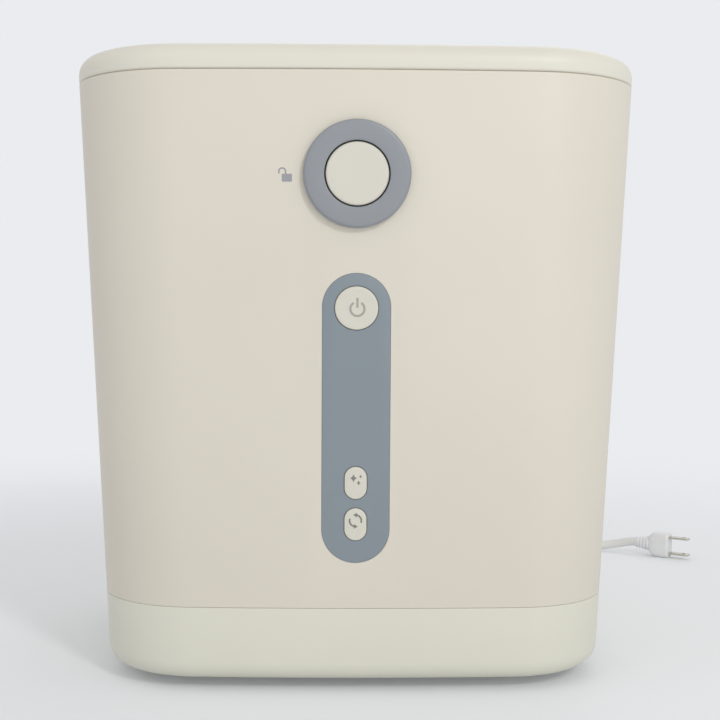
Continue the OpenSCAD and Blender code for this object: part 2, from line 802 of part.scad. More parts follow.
module fixed_blades() {
    tip = bucket_in_r - fixed_reach;
    color("darkgray") intersection() {
        for (a = [20:120:260]) rotate(a) translate([0, 0, fixed_z[0]])
            linear_extrude(fixed_z[1] - fixed_z[0])
            polygon([[bucket_r, -13], [tip + 6, -5], [tip, -1], [tip, 3], [tip + 5, 2.5],
                [tip + 8, 6], [tip + 13, 5.5], [tip + 16, 9], [tip + 21, 8.5], [bucket_r, 13]]);
        bucket_inside();
    }
}

// A sickle-shaped arm from the hub out to a reach
module sickle(reach, bulge, t) {
    mid = reach/2 + 8;
    half = reach/2 - 8;
    r_out = (half*half + bulge*bulge)/(2*bulge);
    a = asin(half/r_out);
    thin = bulge*0.35;
    r_in = (half*half + thin*thin)/(2*thin);
    b = asin(half/r_in);
    linear_extrude(t) polygon(concat(
        arc([mid, bulge - r_out + 5], r_out, 90 + a, 90 - a, 14),
        arc([mid, thin - r_in - 3], r_in, 90 - b, 90 + b, 14)));
}

module blade_rotor() {
    skirt_r = hub_r + bucket_t + 1.5;
    low = bucket_floor + 1.5;
    cap = hub_top + 1.5;
    color("gray") difference() {
        union() {
            rotate_extrude() polygon(concat(
                [[0, low], [skirt_r + 5.5, low], [skirt_r + 3.5, hub_top - 4]],
                arc([skirt_r - 5, hub_top + 4], 8, 0, 60, 4),
                [[6, cap + 15], [0, cap + 16]]));
            for (a = [0, 180]) rotate(a) translate([0, 0, low]) {
                sickle(sweep_r, 14, arm_t);
                translate([sweep_r - 21, 4.5, 0]) rotate(-18) cube([13, 4, 17]);
                translate([sweep_r - 44, 7, 0]) rotate(8) cube([13, 4, 12]);
            }
            for (a = [90, 270]) rotate(a) translate([0, 0, fixed_z[1] + 3]) {
                sickle(upper_r, 10, arm_t);
            }
            rod(19, [hub_top, fixed_z[1] + 3 + arm_t]);
        }
        rod(skirt_r, [low - 1, cap]);
        rod(shaft_r, [low, cap + 9]);
    }
}

module rotor_shaft() {
    color("silver") difference() {
        union() {
            rod(shaft_r, [socket_z[1] - 1, hub_top + 10.5]);
            rod(socket_r, socket_z);
        }
        rotate(30) translate([0, 0, socket_z[0] - 1])
            cylinder(r = dog_r + dog_gap, h = dog_z[1] - socket_z[0] + 2.5, $fn = 6);
    }
}

module bail_lugs() {
    color("silver") for (s = [0, 180]) rotate(s) {
        difference() {
            union() {
                translate([lug_x[0], -5, bucket_rim]) cube([lug_x[1] - lug_x[0], 10, grip_r]);
                rod_x(5, lug_x, 0, bail_z);
            }
            rod(rim_r + 10, [bucket_rim - 10, bucket_rim]);
        }
        rod_x(bail_pin_r, [head_x[1], lug_x[0]], 0, bail_z);
        rod_x(3, head_x, 0, bail_z);
    }
}

module bail() {
    color("silver") difference() {
        union() {
            for (s = [0, 180]) rotate(s) rod_x(eye_r, [eye_x[0] - 0.3, eye_x[1]], 0, bail_z);
            translate([0, 0, bail_z]) rotate_extrude(angle = 180)
                translate([bail_r, 0]) circle(r = wire_r, $fn = 24);
        }
        for (s = [0, 180]) rotate(s) {
            rod_x(bail_pin_r + running, [eye_x[0] - 6, eye_x[1] + 1], 0, bail_z);
        }
    }
}

module bail_grip() {
    color("black") translate([0, 0, bail_z]) rotate(68) rotate_extrude(angle = 44)
        translate([bail_r, 0]) difference() {
            circle(r = grip_r, $fn = 32);
            circle(r = wire_r, $fn = 24);
        }
}

// Lid ---------------------------------------------------------------------------------------

liner_t = 1.8;
gasket_r = [well_r + 9, well_r + 15];
boss_drop = 4.7;

module lid_shell() {
    lid_top = [for (a = [0:18:90]) ring_at(top_z - lid_edge_r*(1 - sin(a)),
        lid_edge_r*(1 - cos(a)))];
    color("wheat") difference() {
        union() {
            loft(concat([ring_at(lid_low, edge), ring_at(lid_low + edge, 0)], lid_top,
                [ring_at(top_z + 0.6, 28), ring_at(top_z + 0.9, 50)]));
            for (s = [-1, 1]) mirror([s < 0 ? 1 : 0, 0, 0]) lid_arm();
        }
        loft([ring_at(lid_low - 1, wall), ring_at(lid_low + 2, wall),
            ring_at(top_z - wall - 3, wall + 3), ring_at(top_z - wall, wall + 9)]);
        rod_x(hinge_pin_r + running, [-knuckle_mid - 1, knuckle_mid + 1], hinge_y, hinge_z);
    }
}

module lid_arm() {
    x = [knuckle_in, knuckle_mid - knuckle_gap];
    rod_x(knuckle_r, x, hinge_y, hinge_z);
    translate([x[0], 0, 0]) rotate([90, 0, 90]) linear_extrude(x[1] - x[0])
        polygon([[hinge_y, hinge_z + 1], [hinge_y, hinge_z + knuckle_r],
            [rear_y(lid_seam) - 1.5, hinge_z + knuckle_r + 1.5],
            [rear_y(lid_seam) - 1.5, lid_low + edge]]);
}

module lid_liner() {
    lip = lid_low - boss_drop;
    color("gray") difference() {
        union() {
            loft([ring_at(lid_low, wall + fit), ring_at(lid_low + liner_t, wall + fit)]);
            tube(gasket_r[1] + 3, gasket_r[0] - 3, [lip, lid_low + 0.5]);
            for (r = [30, 55]) tube(r + 1, r - 1, [lid_low - 1, lid_low + 0.5]);
            translate([switch_at[0], switch_at[1], 0]) rod(2, [deck_top - 0.8, lid_low + 0.5]);
        }
        tube(gasket_r[1], gasket_r[0], [lip - 1, lip + 2.5]);
        for (a = [0:30:330]) rotate(a) translate([42, 0, 0]) {
            rod(3, [lid_low - 1, lid_low + liner_t + 1]);
        }
    }
}

module lid_gasket() {
    lip = lid_low - boss_drop;
    color("whitesmoke") rotate_extrude($fn = 96) polygon([
        [gasket_r[0] + 0.1, lip + 2.4], [gasket_r[0] + 0.1, lip - 0.2],
        [gasket_r[0] + 2.2, deck_top + 0.35], [gasket_r[1] - 2.2, deck_top + 0.35],
        [gasket_r[1] - 0.1, lip - 0.2], [gasket_r[1] - 0.1, lip + 2.4]]);
}

module lid_catch() {
    color("silver") difference() {
        union() {
            translate([-catch_x, catch_y[0], lever_z + 15])
                cube([2*catch_x, catch_y[1] - catch_y[0], lid_low - lever_z - 15]);
            translate([-catch_x - 3, catch_y[1] - 12, lid_low - 1.6]) cube([2*catch_x + 6, 12, 1.6]);
        }
        translate([-lever_x - 1, catch_y[0] - 1, lever_z + 18])
            cube([2*lever_x + 2, 4, 6.5]);
    }
}

module hinge_pin() {
    color("silver") rod_x(hinge_pin_r, [-knuckle_end, knuckle_end], hinge_y, hinge_z);
}

// Sprung coil along Z as a swept tube: turns, mean radius, wire radius and height
module coil_spring(turns, r, wire, h) {
    steps = 12*turns;
    sides = 5;
    points = [for (i = [0:steps], k = [0:sides - 1])
        let (a = 360*turns*i/steps, b = 360*k/sides)
        [(r + wire*cos(b))*cos(a), (r + wire*cos(b))*sin(a), h*i/steps + wire*sin(b)]];
    faces = concat(
        [for (i = [0:steps - 1], k = [0:sides - 1], half = [0, 1])
            let (p = i*sides, q = p + sides, j = (k + 1) % sides)
            half == 0 ? [p + k, p + j, q + j] : [p + k, q + j, q + k]],
        [[for (k = [sides - 1:-1:0]) k], [for (k = [0:sides - 1]) steps*sides + k]]);
    polyhedron(points, faces);
}

module lid_spring() {
    color("silver") translate([-knuckle_in + 1.5, hinge_y, hinge_z]) rotate([0, 90, 0])
        coil_spring(5, hinge_pin_r + 1.2, 0.6, 2*knuckle_in - 3);
}

// Release and latch -------------------------------------------------------------------------

module release_ring() {
    round_r = 1.8;
    color("slategray") on_front(ring_z) difference() {
        rotate_extrude($fn = 96) polygon(concat(
            [[stem_r + 0.5, -spigot_l - spigot_floor], [spigot_r, -spigot_l - spigot_floor],
             [spigot_r, 0.05], [ring_r, 0.05]],
            arc([ring_r - round_r, ring_proud - round_r], round_r, 0, 90, 5),
            [[bore_r + 0.8, ring_proud], [bore_r, ring_proud - 0.8], [bore_r, -spigot_l],
             [stem_r + 0.5, -spigot_l]]));
    }
}

module release_disc() {
    color("antiquewhite") on_front(ring_z) rotate_extrude($fn = 96) polygon(concat(
        [[0, -stem_l], [stem_tip_r, -stem_l], [stem_r, -stem_l + 2.5],
         [stem_r, -spigot_l - spigot_floor - clip_gap - 2.2],
         [stem_r + 1.6, -spigot_l - spigot_floor - clip_gap - 1.6],
         [stem_r + 1.6, -spigot_l - spigot_floor - clip_gap],
         [stem_r, -spigot_l - spigot_floor - clip_gap],
         [stem_r, disc_top - 2.4], [disc_r - 2, disc_top - 2.4], [disc_r - 2, disc_low],
         [disc_r, disc_low]],
        arc([disc_r - 1, disc_top - 1], 1, 0, 90, 4),
        [[disc_r*0.5, disc_top - 0.25], [0, disc_top - 0.35]]));
}

module release_spring() {
    color("silver") on_front(ring_z) translate([0, 0, -spigot_l + 0.6])
        coil_spring(4, spring_r, 0.5, spigot_l + disc_top - 2.4 - 1.2);
}

module latch_lever() {
    reach = catch_y[0] - nose_gap - lever_y;
    arm_h = 24;
    color("white") translate([-lever_x, lever_y, lever_z]) difference() {
        rotate([90, 0, 90]) linear_extrude(2*lever_x) union() {
            circle(r = 4.5);
            polygon([[-4.6, -22], [-1.6, -22], [2.5, -3], [-3.5, 3], [-4.6, -12]]);
            polygon([[-3.5, -2], [3.5, 0], [1.5, 8], [1.5, 18.5], [reach, 18.8],
                [reach, 19.8], [1.5, arm_h], [-2, arm_h], [-2.5, 8]]);
        }
        rod_x(latch_pin_r + running, [-1, 2*lever_x + 1], 0, 0);
    }
}

module latch_pin() {
    color("silver") rod_x(latch_pin_r, [-cheek_x - cheek_t, cheek_x + cheek_t], lever_y, lever_z);
}

module latch_bracket() {
    cheek_l = 20;
    cheek_in = 6;
    back_y = lever_y + cheek_l - cheek_in;
    low = lever_z - 7;
    color("darkgray") difference() {
        union() {
            for (s = [0, 1]) mirror([s, 0, 0]) translate([cheek_x, lever_y - cheek_in, low])
                cube([cheek_t, cheek_l, deck_low - low]);
            translate([-cheek_x - cheek_t, back_y - 2, low])
                cube([2*(cheek_x + cheek_t), 2, deck_low - low]);
        }
        rod_x(latch_pin_r + 0.02, [-cheek_x - cheek_t - 1, cheek_x + cheek_t + 1], lever_y, lever_z);
    }
}

module lid_switch() {
    color("black") translate([switch_at[0], switch_at[1], 0]) {
        slab([20, 8], [deck_low - 12, deck_low]);
        rod(2, [deck_low, deck_top - 1.6]);
        for (x = [-7, 0, 7]) translate([x, 0, 0]) slab([1, 4], [deck_low - 16, deck_low - 12]);
    }
}

// Controls ----------------------------------------------------------------------------------

module strip_holes(grow, z) {
    up_front(power_z, strip_z) rod(power_r + grow, z);
    for (at = [clean_z, speed_z]) up_front(at, strip_z) {
        stadium(key_w + 2*grow, key_h + 2*grow, z);
    }
}

board_spots = [[-14, 68], [14, 68], [-14, 8], [14, 8], [-14, -68], [14, -68]];

module control_strip() {
    color("slategray") on_front(strip_z) difference() {
        union() {
            stadium(strip_w, strip_l, [-plate_t, 0]);
            stadium(strip_w + 2*strip_flange, strip_l + 2*strip_flange,
                [-wall - strip_seat - strip_flange_t, -wall - strip_seat]);
            for (at = board_spots) translate([at[0], at[1]*strip_l/148.3, 0]) {
                rod(2.5, [-board_depth, -plate_t + 0.5]);
            }
        }
        strip_holes(button_gap, [-board_depth, 5]);
    }
}

module button(z) {
    on_front(strip_z) up_front(z, strip_z) {
        children();
        rod(2, [-plate_t - plunger_l, -plate_t]);
    }
}

module power_button() {
    color("antiquewhite") button(power_z) {
        rotate_extrude() polygon(concat([[0, -plate_t], [power_r, -plate_t]],
            arc([power_r - 0.7, button_proud - 0.7], 0.7, 0, 90, 3),
            [[power_r*0.5, button_proud - 0.2], [0, button_proud - 0.3]]));
        rod(power_r + 1.4, [-plate_t - 1.8, -plate_t - 0.3]);
        rod(power_r - 1, [-plate_t - 0.3, -plate_t]);
    }
}

module key(z) {
    button(z) {
        stadium(key_w, key_h, [-plate_t, button_proud - 0.5]);
        stadium(key_w - 1, key_h - 1, [button_proud - 0.5, button_proud]);
        stadium(key_w - 1, key_h - 1, [-plate_t - 0.3, -plate_t]);
        stadium(key_w + 2.4, key_h + 2, [-plate_t - 1.8, -plate_t - 0.3]);
    }
}
module clean_button() { color("antiquewhite") key(clean_z); }
module speed_button() { color("antiquewhite") key(speed_z); }

module control_board() {
    color("seagreen") on_front(strip_z) {
        slab([board_w, strip_l - 6], [-board_depth - board_t, -board_depth]);
        for (z = [power_z, clean_z, speed_z]) up_front(z, strip_z) {
            slab([switch_w, switch_w], [-board_depth, -board_depth + switch_h]);
            rod(1.7, [-board_depth, -plate_t - plunger_l - button_travel - 0.1]);
        }
        translate([0, 20, 0]) slab([14, 14], [-board_depth - board_t - 2, -board_depth - board_t]);
        translate([0, -10, 0]) slab([8, 22], [-board_depth - board_t - 6, -board_depth - board_t]);
    }
}

module main_board() {
    top = board_low + board_t;
    color("seagreen") difference() {
        translate([board_at[0], board_at[1], board_low]) cube([board_size[0], board_size[1], board_t]);
        board_holes() rod(1.2, [0, top + 1]);
    }
    // Transformer, relay, three capacitors and a heat sink
    color("dimgray") translate([board_at[0], board_at[1], top]) {
        translate([12, 12, 0]) cube([26, 22, 20]);
        translate([64, 32, 0]) cube([14, 28, 15]);
        for (i = [0:2]) translate([50, 12 + 17*i, 0]) rod(6.5, [0, 24 - 3*i]);
        translate([12, 42, 0]) cube([22, 4, 24]);
    }
}

// Air path ----------------------------------------------------------------------------------

module fan_housing() {
    port_z = [fan_z[0] + 4, fan_z[1] - 4];
    port_x = -bay_w/2 - bay_t;
    port_w = fan_port[1] - fan_port[0];
    color("lightgray") difference() {
        union() {
            translate(fan_at) rod(fan_r, fan_z);
            translate([fan_at[0], fan_port[0], fan_z[0] + 2])
                cube([port_x - fan_at[0], port_w, fan_h - 4]);
        }
        translate(fan_at) {
            rod(fan_r - fan_t, [fan_z[0] + fan_t, fan_z[1] - fan_t]);
            rod(inlet_r, [fan_z[1] - 5, fan_z[1] + 1]);
            rod(4, [fan_z[0] - 1, fan_z[0] + 5]);
        }
        translate([fan_at[0], fan_port[0] + fan_t, port_z[0]])
            cube([port_x - fan_at[0] + 1, port_w - 2*fan_t, port_z[1] - port_z[0]]);
    }
}

module fan_impeller() {
    blade_n = 16;
    low = fan_z[0] + fan_t + 1;
    color("whitesmoke") translate(fan_at) union() {
        rod(impeller_r, [low, low + 1.6]);
        rod(6, [low, low + 12]);
        rod(motor_shaft_r, [fan_z[0] - 10, low]);
        for (i = [0:blade_n - 1]) rotate(i*360/blade_n) rotate(35)
            translate([impeller_r*0.58, -impeller_r*0.3, low + 1])
            cube([impeller_r*0.35, 1.2, fan_h - 10.4]);
    }
}

module fan_motor() {
    color("dimgray") translate(fan_at) difference() {
        union() {
            rod(14, [fan_z[0] - 20, fan_z[0]]);
            rod(3.8, [fan_z[0] - 1, fan_z[0] + fan_t]);
        }
        rod(motor_shaft_r + running, [fan_z[0] - 11, fan_z[0] + 5]);
    }
}

module air_duct() {
    low = window_z[0] - duct_t;
    high = window_z[1] + duct_t;
    color("lightgray") rotate(duct_a) difference() {
        union() {
            translate([well_out_r + 0.2, -duct_w/2, low])
                cube([duct_end - well_out_r, duct_w, high - low]);
            translate([norm(fan_at), 0, 0]) rod(pipe_r, [fan_z[1], low + 1]);
        }
        translate([well_out_r - 1, -window_w/2, window_z[0]])
            cube([duct_end - well_out_r - duct_t, window_w, window_z[1] - window_z[0]]);
        translate([norm(fan_at), 0, 0]) rod(pipe_r - duct_t, [fan_z[1] - 1, window_z[0] + 1]);
        rod(well_out_r + 0.2, [low - 1, high + 1]);
    }
}

module filter_bay() {
    color("lightgray") difference() {
        on_rear(bay_z) difference() {
            slab([bay_w + 2*bay_t, bay_h + 2*bay_t], [-wall - bay_depth, -wall - bow]);
            slab([bay_w, bay_h], [-wall - bay_depth + bay_t, 5]);
        }
        translate([-bay_w/2 - bay_t - 1, fan_port[0] + fan_t, fan_z[0] + 4])
            cube([bay_t + 3, fan_port[1] - fan_port[0] - 2*fan_t, fan_z[1] - fan_z[0] - 8]);
    }
}

module filter_frame() {
    w = bay_w - 2*cassette_gap;
    h = bay_h - 2*cassette_gap;
    face = [for (i = [8:-1:-8]) [i*w/16, -bow_drop(i*w/16)]];
    color("wheat") on_rear(bay_z) difference() {
        translate([0, h/2, 0]) rotate([90, 0, 0]) linear_extrude(h)
            polygon(concat([[-w/2, -cassette_d], [w/2, -cassette_d]], face));
        slab([w - 4, h - 4], [-cassette_d - 1, -face_t]);
        for (i = [0:louvre_n - 1]) translate([0, 8 + (i - (louvre_n - 1)/2)*louvre_pitch, 0])
            rotate([90, 0, 90]) translate([0, 0, -w/2 + 14]) linear_extrude(w - 28)
                polygon([[-1.5, 3], [-3.6, -face_t - 1], [-0.6, -face_t - 1], [1.5, 3]]);
        translate([0, -h/2 + 10, 3]) rotate([0, 90, 0]) stadium(9, 14, [-18, 18]);
    }
}

module carbon_block() {
    w = bay_w - 2*cassette_gap - 6;
    h = bay_h - 2*cassette_gap - 6;
    color("black") on_rear(bay_z) slab([w, h], [-cassette_d, -face_t - 2.5]);
    color("gray") on_rear(bay_z) difference() {
        slab([w + 1.8, h + 1.8], [-face_t - 2.4, -face_t]);
        slab([w - 10, h - 10], [-face_t - 5, 0]);
    }
}

// Fasteners ---------------------------------------------------------------------------------

module case_screws() {
    color("silver") {
        corners(base_seam, base_post_along) rod(3.8, [floor_z - 1, floor_z + 2]);
        corners(base_seam, base_post_along) {
            rod(1.9, [floor_z + 2, post_z]);
            rod(1.5, [post_z, post_z + 14]);
        }
        corners(deck_low, top_post_along) {
            rod(1.5, [deck_low - deck_screw_z + 2, deck_top]);
            rod(3.6, [deck_top, deck_top + 1.8]);
        }
    }
}

// Mains lead --------------------------------------------------------------------------------

module cord_gland() {
    groove = 3.2;
    color("white") translate([gland_x, 0, 0]) on_rear(gland_z)
        translate([0, 0, -bow_drop(gland_x)]) rotate_extrude() polygon(concat(
        [[cord_r + 0.1, -wall - 4], [8.2, -wall - 4], [8.2, -wall - 2.4], [6.5, -wall - 2.4],
         [6.5, 0.3], [9, 0.3], [9, 2], [6.6, 2.6]],
        [for (i = [1:6], k = [0, 1])
            [6.5 - 0.3*i - (k == 0 ? 0 : 0.8), 2.6 + groove*i + (k == 0 ? 0 : 1.2)]],
        [[4.7, gland_l], [cord_r + 0.1, gland_l]]));
}

// A round tube swept along a list of points
module swept(points, r) {
    sides = 8;
    last = len(points) - 1;
    ways = [for (i = [0:last]) let (d = points[min(i + 1, last)] - points[max(i - 1, 0)])
        d/norm(d)];
    verts = [for (i = [0:last], k = [0:sides - 1])
        let (flat = [ways[i][1], -ways[i][0], 0], x = flat/norm(flat), y = cross(ways[i], x),
            a = 360*k/sides)
        points[i] + r*(cos(a)*x + sin(a)*y)];
    faces = concat(
        [for (i = [0:last - 1], k = [0:sides - 1], half = [0, 1])
            let (p = i*sides, q = p + sides, j = (k + 1) % sides)
            half == 0 ? [p + k, q + k, q + j] : [p + k, q + j, p + j]],
        [[for (k = [0:sides - 1]) k], [for (k = [sides - 1:-1:0]) last*sides + k]]);
    polyhedron(verts, faces);
}

module cord_tube() {
    color("white") {
        swept(lead_out, cord_r);
        swept(lead_back, cord_r);
    }
}

module cord_coil() {
    high = coil_lift + 2*cord_d;
    color("white") translate([coil_at[0], coil_at[1], 0]) rotate_extrude($fn = 96)
        polygon(concat(
            arc([coil_in + 2, coil_lift + 2], 2, 180, 270, 3),
            arc([coil_out - 2, coil_lift + 2], 2, 270, 360, 3),
            arc([coil_out - 2, high - 2], 2, 0, 90, 3),
            arc([coil_in + 2, high - 2], 2, 90, 180, 3)));
}

module cord_tie() {
    high = coil_lift + 2*cord_d;
    color("black") translate([coil_at[0], coil_at[1], 0]) rotate(-60)
        translate([(coil_in + coil_out)/2, 5, 0]) rotate([90, 0, 0]) linear_extrude(10)
        difference() {
            translate([-(coil_out - coil_in)/2 - 1.5, 0])
                square([coil_out - coil_in + 3, high + 0.8]);
            translate([-(coil_out - coil_in)/2 - 0.7, coil_lift])
                square([coil_out - coil_in + 1.4, high - coil_lift]);
        }
}

module on_plug() {
    translate(plug_at) rotate([0, 0, plug_dir]) children();
}

module mains_plug() {
    color("white") on_plug() intersection() {
        rotate([90, 0, 0]) translate([0, 0, -plug_t/2]) linear_extrude(plug_t) polygon(concat(
            [[0, -6]], arc([5, -plug_h/2 + 5], 5, 200, 270, 4),
            arc([plug_l - 2, -plug_h/2 + 2], 2, 270, 360, 3),
            arc([plug_l - 2, plug_h/2 - 2], 2, 0, 90, 3), arc([5, plug_h/2 - 5], 5, 90, 160, 4),
            [[0, 6]]));
        translate([0, 0, -plug_h]) linear_extrude(2*plug_h) polygon([[0, -5.5], [6, -plug_t/2],
            [plug_l, -plug_t/2], [plug_l, plug_t/2], [6, plug_t/2], [0, 5.5]]);
    }
    color("white") on_plug() rotate([0, -90, 0]) rotate_extrude() polygon(concat(
        [[0, 0], [6, 0]],
        [for (i = [0:3], k = [0:1]) [6 - 0.4*i - (k == 0 ? 0 : 1), 1 + 2.8*i + (k == 0 ? 0 : 0.3)]],
        [[4.4, plug_boot_l], [0, plug_boot_l]]));
    color("silver") on_plug() for (s = [-1, 1]) difference() {
        translate([plug_l, -3.2, s*blade_gap/2 - 0.75]) cube([16, 6.4, 1.5]);
        translate([plug_l + 11.5, 0, 0]) rod(1.6, [-20, 20]);
    }
}

base_pan();
feet();
outer_casing();
top_deck();
well();
insulation_sleeve();
heating_ring();
thermal_cutout();
gearbox_housing();
gearbox_cover();
gearbox_standoffs();
idler_axles();
drive_bushes();
motor();
motor_pinion();
idler_gear_1();
idler_gear_2();
output_gear();
drive_shaft();
shaft_seal();
bucket();
bucket_bush();
fixed_blades();
blade_rotor();
rotor_shaft();
bail_lugs();
bail();
bail_grip();
lid_shell();
lid_liner();
lid_gasket();
lid_catch();
hinge_pin();
lid_spring();
release_ring();
release_disc();
release_spring();
latch_lever();
latch_pin();
latch_bracket();
lid_switch();
control_strip();
power_button();
clean_button();
speed_button();
control_board();
main_board();
fan_housing();
fan_impeller();
fan_motor();
air_duct();
filter_bay();
filter_frame();
carbon_block();
case_screws();
cord_gland();
cord_tube();
cord_coil();
cord_tie();
mains_plug();
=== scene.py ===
import json
from math import asin, cos, degrees, pi, radians, sin, sqrt

import bmesh
import bpy
from mathutils import Matrix, Vector

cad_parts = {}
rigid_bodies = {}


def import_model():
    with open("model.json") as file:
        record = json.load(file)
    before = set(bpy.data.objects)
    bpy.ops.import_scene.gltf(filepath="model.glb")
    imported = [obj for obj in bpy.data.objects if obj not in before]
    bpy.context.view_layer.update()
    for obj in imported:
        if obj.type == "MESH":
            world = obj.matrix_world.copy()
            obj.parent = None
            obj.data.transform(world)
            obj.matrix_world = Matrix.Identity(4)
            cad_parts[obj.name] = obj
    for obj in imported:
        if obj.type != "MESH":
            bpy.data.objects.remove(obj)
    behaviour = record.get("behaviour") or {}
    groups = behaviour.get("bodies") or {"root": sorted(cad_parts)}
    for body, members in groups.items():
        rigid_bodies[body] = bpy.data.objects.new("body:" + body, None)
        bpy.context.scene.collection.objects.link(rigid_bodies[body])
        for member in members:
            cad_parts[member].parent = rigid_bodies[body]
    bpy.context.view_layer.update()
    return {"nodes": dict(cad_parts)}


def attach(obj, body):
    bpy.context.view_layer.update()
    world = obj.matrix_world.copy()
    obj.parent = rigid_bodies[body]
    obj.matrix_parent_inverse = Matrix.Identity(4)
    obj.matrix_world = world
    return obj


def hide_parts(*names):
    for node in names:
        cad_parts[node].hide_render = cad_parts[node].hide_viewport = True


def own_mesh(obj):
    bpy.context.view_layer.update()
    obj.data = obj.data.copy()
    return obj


for start_object in list(bpy.data.objects):
    bpy.data.objects.remove(start_object)
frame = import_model()
node = frame["nodes"]
scene = bpy.context.scene


# Camera -----------------------------------
# Stands square to the control strip, a little above the machine's middle height, and looks
# slightly down and to the right.


def put(name, data):
    """A new object in the scene."""
    fresh = bpy.data.objects.new(name, data)
    scene.collection.objects.link(fresh)
    return fresh


eye = Vector((-0.0092, -0.7946, 0.19865))
yaw, pitch, roll = 0.017, -0.039, 0.005
ahead = Vector((sin(yaw)*cos(pitch), cos(yaw)*cos(pitch), sin(pitch)))
right = ahead.cross(Vector((0, 0, 1))).normalized()
up = right.cross(ahead)
right, up = right*cos(roll) + up*sin(roll), up*cos(roll) - right*sin(roll)
camera = put("camera", bpy.data.cameras.new("camera"))
camera.data.lens = 64.4
camera.data.sensor_width = 36
camera.data.clip_start = 0.02
camera.matrix_world = Matrix.Translation(eye) @ Matrix((right, up, -ahead)).transposed().to_4x4()
scene.camera = camera


# Mains cord -------------------------------
# A round white PVC-jacketed flex, 7 mm thick. It leaves through the gland low in the back wall,
# is wound in a flat double coil behind the machine and runs out to the plug on the right.

mm = 0.001
cord_d = 7
lead_out = [(-45, 124, 22.2), (-45, 142, 21.3), (-45, 159.6, 20.5), (-45, 168, 19.5),
    (-45, 181, 15.5), (-44, 194, 9.5), (-41, 208, 5.5), (-33, 221, 4.2), (-21, 232, 4),
    (-6, 240, 4), (12, 243.5, 4), (30, 243.5, 4), (50, 243.5, 4.2)]
lead_back = [(90, 243.8, 11), (105, 245.2, 8.6), (120, 247.7, 5.6), (135, 250.5, 4),
    (150, 253.3, 3.6), (165, 256.1, 3.6), (180, 258.9, 3.6), (190, 260.8, 3.7),
    (199.9, 262.4, 4), (207.7, 262.6, 4.6), (215.4, 261.3, 5.7), (222.8, 258.6, 7.2),
    (229.6, 254.7, 9), (233.71, 251.8, 9.9), (236.17, 250.08, 10)]
coil_at = (75, 198)
coil_r, coil_turns, knots_per_turn = 45.5, 2.5, 16
coil_low, coil_high, climb_turns = 4.3, 11.3, 0.24


def held(t):
    """A number kept from 0 to 1."""
    return min(1, max(0, t))


def coil_point(turn):
    """A knot of the coil, which winds inwards low down, climbs and winds out again on top."""
    r = coil_r - cord_d*min(turn, 2*coil_turns - turn)
    angle = pi/2 - 2*pi*turn
    climb = held((turn - coil_turns)/climb_turns + 0.5)
    return (coil_at[0] + r*cos(angle), coil_at[1] + r*sin(angle),
        coil_low + (coil_high - coil_low)*climb)


coil = [coil_point(i/knots_per_turn) for i in range(int(2*coil_turns*knots_per_turn) + 1)]
cord_knots = lead_out + coil + lead_back
route = bpy.data.curves.new("mains_cord", "CURVE")
route.dimensions = "3D"
route.bevel_depth = cord_d/2*mm
route.bevel_resolution = 4
route.resolution_u = 5
route.use_fill_caps = True
spline = route.splines.new("BEZIER")
spline.bezier_points.add(len(cord_knots) - 1)
for knot, spot in zip(spline.bezier_points, cord_knots):
    knot.co = Vector(spot)*mm
for knot in spline.bezier_points:
    knot.handle_left_type = knot.handle_right_type = "AUTO"
cord = put("mains_cord", route)


def tint(red, green, blue):
    """A colour card's 0 to 255 reading as the shader's numbers."""
    return tuple((c/255/12.92 if c < 10.3 else ((c/255 + 0.055)/1.055)**2.4)
        for c in (red, green, blue)) + (1,)


def join(target, *links):
    """Joins (socket, source) pairs to a node. A plain number or colour is set on the socket."""
    for label, source in links:
        if isinstance(source, bpy.types.NodeSocket):
            target.id_data.links.new(source, target.inputs[label])
        else:
            target.inputs[label].default_value = source
    return target


def add(tree, kind, *links, **values):
    """Puts a node in the tree, sets what it is told and joins it up."""
    fresh = tree.nodes.new("ShaderNode" + kind)
    for label, value in values.items():
        setattr(fresh, label, value)
    return join(fresh, *links)


def cloud(way, scale, detail, rough=0.5):
    """A cloudy pattern over a place."""
    return add(way.id_data, "TexNoise", ("Vector", way), ("Scale", scale), ("Detail", detail),
        ("Roughness", rough)).outputs["Fac"]


def cells(way, scale):
    """A pattern of cells over a place, with each cell's distance and colour."""
    return add(way.id_data, "TexVoronoi", ("Vector", way), ("Scale", scale)).outputs


def spread(value, low, high, start=0, end=1, **kind):
    """What a value does from low to high, spread from start to end."""
    return add(value.id_data, "MapRange", ("Value", value), ("From Min", low),
        ("From Max", high), ("To Min", start), ("To Max", end), **kind).outputs["Result"]


def new_skin(name, **numbers):
    """A surface's shader group: a place and named numbers in, three patterns out."""
    skin = bpy.data.node_groups.new(name, "ShaderNodeTree")
    skin.interface.new_socket("Vector", in_out="INPUT", socket_type="NodeSocketVector")
    for label, value in numbers.items():
        socket = skin.interface.new_socket(label.capitalize(), in_out="INPUT",
            socket_type="NodeSocketFloat")
        socket.default_value = value
    for label in ("Height", "Patch", "Speck"):
        skin.interface.new_socket(label, in_out="OUTPUT", socket_type="NodeSocketFloat")
    return skin, *list(skin.nodes.new("NodeGroupInput").outputs)[:-1]


def put_out(skin, height, patch, speck):
    """Ends a group with its relief, its broad patches and its specks."""
    join(skin.nodes.new("NodeGroupOutput"), ("Height", height), ("Patch", patch),
        ("Speck", speck))


# Fine spark-eroded grain with broad, faint unevenness, as a steel mould leaves on plastic
mould_skin, way, grain, patches = new_skin("mould_skin", grain=1500, patches=9)
put_out(mould_skin, cloud(way, grain, 3, 0.6), spread(cloud(way, patches, 3, 0.45), 0.3, 0.7),
    spread(cells(way, 420)["Distance"], 0.08, 0.16, 1, 0))


